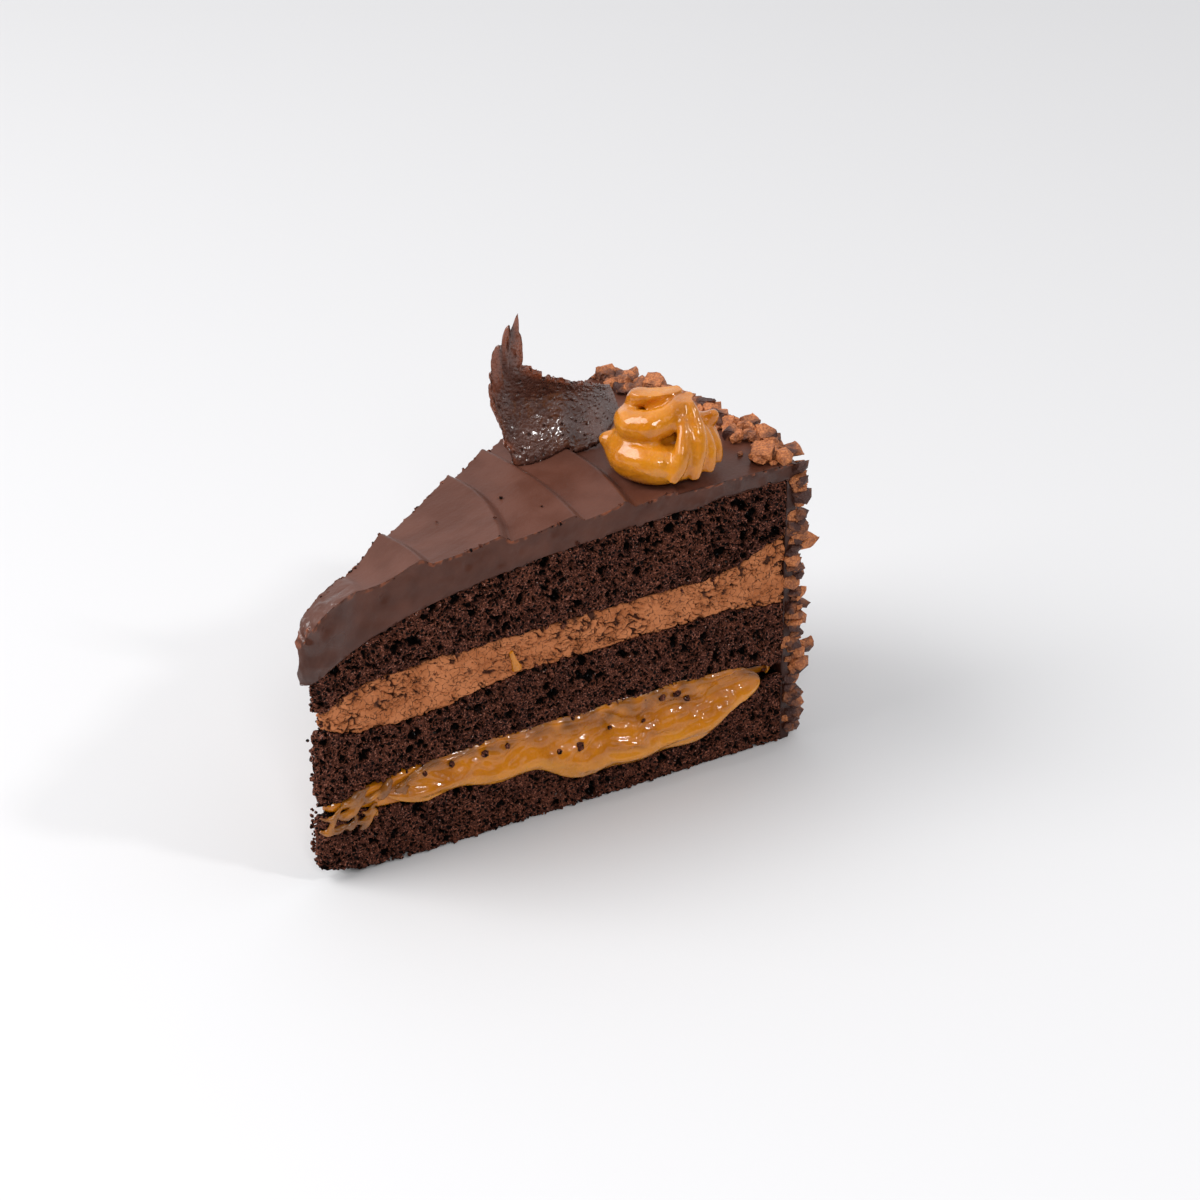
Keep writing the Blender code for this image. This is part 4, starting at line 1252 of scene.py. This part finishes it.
def chopped(node, cuts, seed):
    """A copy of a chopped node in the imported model, with soft edges and a grainy surface."""
    bm = bmesh.new()
    bm.from_mesh(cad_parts[node].data)
    bmesh.ops.remove_doubles(bm, verts=bm.verts[:], dist=0.00001)
    bmesh.ops.dissolve_limit(bm, angle_limit=0.05, verts=bm.verts[:], edges=bm.edges[:])
    bmesh.ops.triangulate(bm, faces=bm.faces[:])
    bmesh.ops.subdivide_edges(bm, edges=bm.edges[:], cuts=cuts, use_grid_fill=True)
    spots, outward = places_of(bm), directions_of(bm)
    if node.startswith("rim"):
        middle = (spots.min(0) + spots.max(0)) / 2
        spots = middle + (spots - middle) * RIM_CHUNK_SCALE - np.array([0, 0, RIM_CHUNK_SINK])
    bend = 0.32 * MM * layered_noise(spots, 2.4 * MM, seed) + 0.10 * MM * noise(spots, 0.8 * MM, seed + 3)
    dark = 0.5 + 0.9 * noise(spots, 5 * MM, seed + 5)
    place_all(bm, spots + outward * (bend - 0.2 * MM)[:, None], dark=dark)
    bmesh.ops.recalc_face_normals(bm, faces=bm.faces[:])
    return bm


def chip_bmesh(rng, size, thickness):
    """A flat chip of a few dozen faces with a broken outline."""
    bm = bmesh.new()
    bmesh.ops.create_icosphere(bm, subdivisions=1, radius=size / 2)
    bmesh.ops.subdivide_edges(bm, edges=rng.sample(bm.edges[:], 8), cuts=1, use_grid_fill=True)
    for vert in bm.verts:
        vert.co *= rng.uniform(0.86, 1.24)
    bmesh.ops.scale(bm, vec=(1, rng.uniform(0.6, 1), thickness / size), verts=bm.verts[:])
    return bm


def strew(target, pieces):
    """Adds chips to a bmesh: pieces are (chip bmesh, place, turn, darkness)."""
    target.verts.layers.float.new("dark")
    for bm, place, turn, darkness in pieces:
        bmesh.ops.transform(bm, matrix=Matrix.Translation(place) @ turn.to_4x4(), verts=bm.verts[:])
        layer = bm.verts.layers.float.new("dark")
        for vert in bm.verts:
            vert[layer] = darkness
        append_bmesh(target, bm)


def rotation(angle, axis):
    return Matrix.Rotation(angle, 3, axis)


def top_at(x, y):
    """The height of the ganache at one place."""
    return float(frosting_top(np.array([x]), np.array([y]))[0])


def side_chips(rng, settings):
    """Flat chips pressed into the rim's side."""
    for _ in range(settings.chip_count):
        angle = HALF_ANGLE * rng.uniform(-1, 1) * 0.985
        height = rng.uniform(1.5, 66.5) * MM
        size = settings.chip_size * rng.uniform(0.45, 1.15)
        outward = Vector((math.cos(angle), math.sin(angle), 0))
        place = outward * (RIM_RADIUS + size * rng.uniform(0.02, 0.26)) + Vector((0, 0, height))
        turn = rotation(angle, "Z") @ rotation(rng.uniform(-0.6, 0.6), "Y")
        turn = turn @ rotation(math.pi / 2, "Y") @ rotation(rng.uniform(0, math.tau), "Z")
        chip = chip_bmesh(rng, size, size * rng.uniform(0.4, 0.65))
        yield chip, place, turn, rng.choice((0.1, 0.5, 1.0, 1.0))


def corner_chips(rng, settings):
    """Chips at the rim's two corners, where the cut faces meet it."""
    for _ in range(CORNER_CHIPS):
        angle = rng.choice((-1, 1)) * HALF_ANGLE * rng.uniform(0.975, 1.012)
        size = settings.chip_size * rng.uniform(0.3, 1.15)
        outward = Vector((math.cos(angle), math.sin(angle), 0))
        place = outward * (RIM_RADIUS + size * rng.uniform(-0.35, 0.32))
        place.z = rng.uniform(1.8, 67.0) * MM
        turn = rotation(angle, "Z") @ rotation(rng.uniform(0, math.tau), "X")
        turn = turn @ rotation(rng.uniform(-0.9, 0.9), "Z")
        chip = chip_bmesh(rng, size, size * rng.uniform(0.4, 0.6))
        yield chip, place, turn, rng.choice((0.1, 0.4, 0.9, 1.0, 1.0))


def rim_top_chips(rng):
    """Small chips between the larger ones on the rim's top edge."""
    for _ in range(RIM_TOP_CHIPS):
        angle = HALF_ANGLE * rng.uniform(-0.99, 0.99)
        radius = RIM_RADIUS - abs(rng.gauss(2.6, 2.6)) * MM
        x, y = radius * math.cos(angle), radius * math.sin(angle)
        size = rng.uniform(1.2, 4.8) * MM
        place = Vector((x, y, top_at(x, y) + size * 0.25))
        turn = rotation(rng.uniform(0, math.tau), "Z") @ rotation(rng.uniform(-0.8, 0.8), "X")
        chip = chip_bmesh(rng, size, size * rng.uniform(0.4, 0.8))
        yield chip, place, turn, rng.choice((0.0, 0.2, 0.6))


class ChoppedOperator(Operator):
    """Makes the chopped chocolate on the rim"""

    bl_idname = "cake_slice.make_chopped"
    bl_label = "Chopped Chocolate"

    def execute(self, context):
        settings = context.scene.cake_topping
        material = chopped_material(settings)
        for kind, cuts in (("rim_chunk", 5), ("side_chunk", 3)):
            nodes = sorted(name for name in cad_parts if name.startswith(kind))
            bm = bmesh.new()
            for seed, node in enumerate(nodes):
                append_bmesh(bm, chopped(node, cuts, seed * 11))
            add_piece(f"{kind}s_chopped", bm, material, nodes, smooth=False, shift=False)
        rng = random.Random(8)
        bm = bmesh.new()
        strew(bm, [*side_chips(rng, settings), *corner_chips(rng, settings), *rim_top_chips(rng)])
        add_piece("rim_chips", bm, material, smooth=False)
        return {"FINISHED"}


# Small shavings on the ganache: millimetres from the centre, share across to the near side, width.
SHAVINGS = ((44.5, -0.3, 0.7), (52.0, 0.45, 0.9), (60.5, -0.1, 1.1), (63.0, 0.5, 0.6))
CARAMEL_CRUMBS = 12
# Heights at the tip where the softer layers are set back, and how far.
TIP_HOLLOWS = ((17 * MM, 22 * MM), (34 * MM, 42 * MM))
TIP_SETBACK = 1.6 * MM


def edge_crumbs(rng, count):
    """Loose crumbs along the foot, the layers' edges, the tip and the ganache's edge."""
    surfaces = (caramel_top, middle_sponge_top, mousse_top, top_sponge_top)
    for _ in range(count):
        kind, side = rng.random(), rng.choice((-1, 1))
        r = rng.uniform(9, 117) * MM
        x, y = cut_face(r, side)
        spot = Vector((float(x), float(y), 0)) + Vector(face_normal(side)) * rng.uniform(-0.4, 0.25) * MM
        size = rng.uniform(0.5, 1.5) * MM
        if kind < 0.35:
            spot.z = float(underside(x)) + size * 0.5
        elif kind < 0.62:
            spot.z = float(rng.choice(surfaces)(x)) + rng.gauss(0, 0.4) * MM
        elif kind < 0.80:
            spot.z = rng.uniform(3, 50) * MM
            angle = HALF_ANGLE * rng.uniform(-0.9, 0.9)
            spot.x = (TIP_DISTANCE + 0.3 * MM) * math.cos(angle)
            spot.y = TIP_DISTANCE * math.sin(angle)
            if any(low < spot.z < high for low, high in TIP_HOLLOWS):
                spot.x += TIP_SETBACK
        else:
            spot.z = top_at(x, y) - 0.2 * MM
            size *= 0.8
            if side < 0 and rng.random() < 0.6:
                size *= 0.5
        angle = rng.uniform(0, math.tau)
        turn = rotation(angle, Vector([rng.uniform(-1, 1) for _ in range(3)]).normalized())
        yield chip_bmesh(rng, size, size * rng.uniform(0.6, 0.9)), spot, turn, 0.0


def caramel_crumbs(rng):
    """Crumbs caught on the near lip of caramel."""
    for _ in range(CARAMEL_CRUMBS):
        r = rng.uniform(26, 106) * MM
        high, low = float(near_lip_high(r)), float(near_lip_low(r))
        share = rng.betavariate(1.2, 2.4)
        x, y = cut_face(r, -1)
        out = (0.2 + 1.9 * share) * MM
        spot = Vector((float(x), float(y), high - (high - low) * 0.7 * share))
        spot = spot + Vector(face_normal(-1)) * out
        size = rng.uniform(1.0, 2.6) * MM
        crumb = chip_bmesh(rng, size, size * 0.8)
        yield crumb, spot, rotation(rng.uniform(0, 6), "Y"), 0.0


def shavings(rng):
    """Small shavings on the ganache."""
    for r, share, size in SHAVINGS:
        x, y = r * MM, -share * r * MM * math.tan(HALF_ANGLE)
        spot = Vector((x, y, top_at(x, y) + 0.25 * MM))
        turn = rotation(rng.uniform(0, math.tau), "Z")
        yield chip_bmesh(rng, size * MM, size * 0.45 * MM), spot, turn, 0.0


class CrumbOperator(Operator):
    """Makes the loose crumbs on the edges and the shavings on the ganache"""

    bl_idname = "cake_slice.make_crumbs"
    bl_label = "Crumbs and Shavings"

    def execute(self, context):
        rng = random.Random(21)
        count = context.scene.cake_topping.crumb_count
        bm = bmesh.new()
        strew(bm, [*edge_crumbs(rng, count), *caramel_crumbs(rng), *shavings(rng)])
        add_piece("loose_crumbs", bm, sponge_material(context.scene.cake_sponge), smooth=False)
        return {"FINISHED"}


FLOOR_SIZE = 6
# Each light's place from the slice's middle, its width, and its share of the key light's power.
LIGHTS = (
    ("window", (-0.70, 0.55, 0.85), 0.8, 1.3),
    ("front", (-0.62, -0.80, 0.80), 0.30, 0.44),
    ("glint", (0.33, -0.78, 0.80), 0.10, 0.26),
)
# From the slice's tip centre on the floor: where the lights aim, where the camera stands and where it aims.
LIGHT_AIM = Vector((0.065, 0, 0.035))
CAMERA_PLACE = Vector((-0.3750, -0.4766, 0.4228))
CAMERA_AIM = Vector((0.1278, 0.0417, 0))
BRIGHT_SKY = (0.60, 0.62, 0.50)


class StageOperator(Operator):
    """Makes the floor, the lights and the camera"""

    bl_idname = "cake_slice.make_stage"
    bl_label = "Stage"

    def execute(self, context):
        settings, scene = context.scene.cake_stage, context.scene
        bm = bmesh.new()
        bmesh.ops.create_grid(bm, x_segments=1, y_segments=1, size=FLOOR_SIZE)
        mesh = bpy.data.meshes.new("floor")
        bm.to_mesh(mesh)
        bm.free()
        floor = bpy.data.objects.new("floor", mesh)
        scene.collection.objects.link(floor)
        material = bpy.data.materials.new("pale floor")
        material.use_nodes = True
        shader = material.node_tree.nodes["Principled BSDF"]
        shader.inputs["Base Color"].default_value = (*settings.floor_colour, 1)
        shader.inputs["Roughness"].default_value = 0.8
        shader.inputs["Specular IOR Level"].default_value = 0.15
        mesh.materials.append(material)

        world = bpy.data.worlds.new("soft studio")
        world.use_nodes = True
        tree = world.node_tree
        background = tree.nodes["Background"]
        towards = tree.nodes.new("ShaderNodeVectorMath")
        towards.operation = "DOT_PRODUCT"
        connect(tree, towards, "0", tree.nodes.new("ShaderNodeTexCoord").outputs["Generated"])
        towards.inputs[1].default_value = BRIGHT_SKY
        shade = ramp(tree, towards.outputs["Value"], -0.4, 0.7, 0.10, 1.0)
        connect(tree, background, "Color", blend_colours(tree, shade, (0, 0, 0), (0.97, 0.98, 1.0)))
        background.inputs["Strength"].default_value = settings.fill
        scene.world = world
        scene.view_settings.view_transform = "Standard"

        base = Vector((ORIGIN[0], ORIGIN[1], 0))
        target = base + LIGHT_AIM
        for name, place, size, share in LIGHTS:
            data = bpy.data.lights.new(name, "AREA")
            data.size, data.energy = size, settings.key_power * share
            light = bpy.data.objects.new(name, data)
            light.location = target + Vector(place)
            light.rotation_euler = (-Vector(place)).to_track_quat("-Z", "Y").to_euler()
            scene.collection.objects.link(light)

        data = bpy.data.cameras.new("camera")
        data.lens, data.sensor_width = settings.lens, 36
        camera = bpy.data.objects.new("camera", data)
        camera.location = base + CAMERA_PLACE
        aim = base + CAMERA_AIM - camera.location
        camera.rotation_euler = aim.to_track_quat("-Z", "Y").to_euler()
        scene.collection.objects.link(camera)
        scene.camera = camera
        return {"FINISHED"}


MAKERS = (
    StageOperator,
    SpongeOperator,
    MousseOperator,
    CaramelOperator,
    GanacheOperator,
    ShardOperator,
    RosetteOperator,
    ChoppedOperator,
    CrumbOperator,
)
SETTINGS = (
    ("cake_sponge", SpongeSettings),
    ("cake_filling", FillingSettings),
    ("cake_ganache", GanacheSettings),
    ("cake_topping", ToppingSettings),
    ("cake_stage", StageSettings),
)


class CakePanel(Panel):
    """Lists the makers of the slice"""

    bl_idname = "VIEW3D_PT_cake_slice"
    bl_label = "Chocolate Cake Slice"
    bl_space_type = "VIEW_3D"
    bl_region_type = "UI"
    bl_category = "Cake"

    def draw(self, context):
        for maker in MAKERS:
            self.layout.operator(maker.bl_idname)


def register():
    for name, group in SETTINGS:
        bpy.utils.register_class(group)
        setattr(bpy.types.Scene, name, PointerProperty(type=group))
    for entry in (*MAKERS, CakePanel):
        bpy.utils.register_class(entry)


def unregister():
    for entry in (CakePanel, *reversed(MAKERS)):
        bpy.utils.unregister_class(entry)
    for name, group in reversed(SETTINGS):
        delattr(bpy.types.Scene, name)
        bpy.utils.unregister_class(group)


def main():
    register()
    bpy.ops.cake_slice.make_stage()
    bpy.ops.cake_slice.make_sponge()
    bpy.ops.cake_slice.make_mousse()
    bpy.ops.cake_slice.make_caramel()
    bpy.ops.cake_slice.make_ganache()
    bpy.ops.cake_slice.make_shard()
    bpy.ops.cake_slice.make_rosette()
    bpy.ops.cake_slice.make_chopped()
    bpy.ops.cake_slice.make_crumbs()


if __name__ == "__main__":
    main()
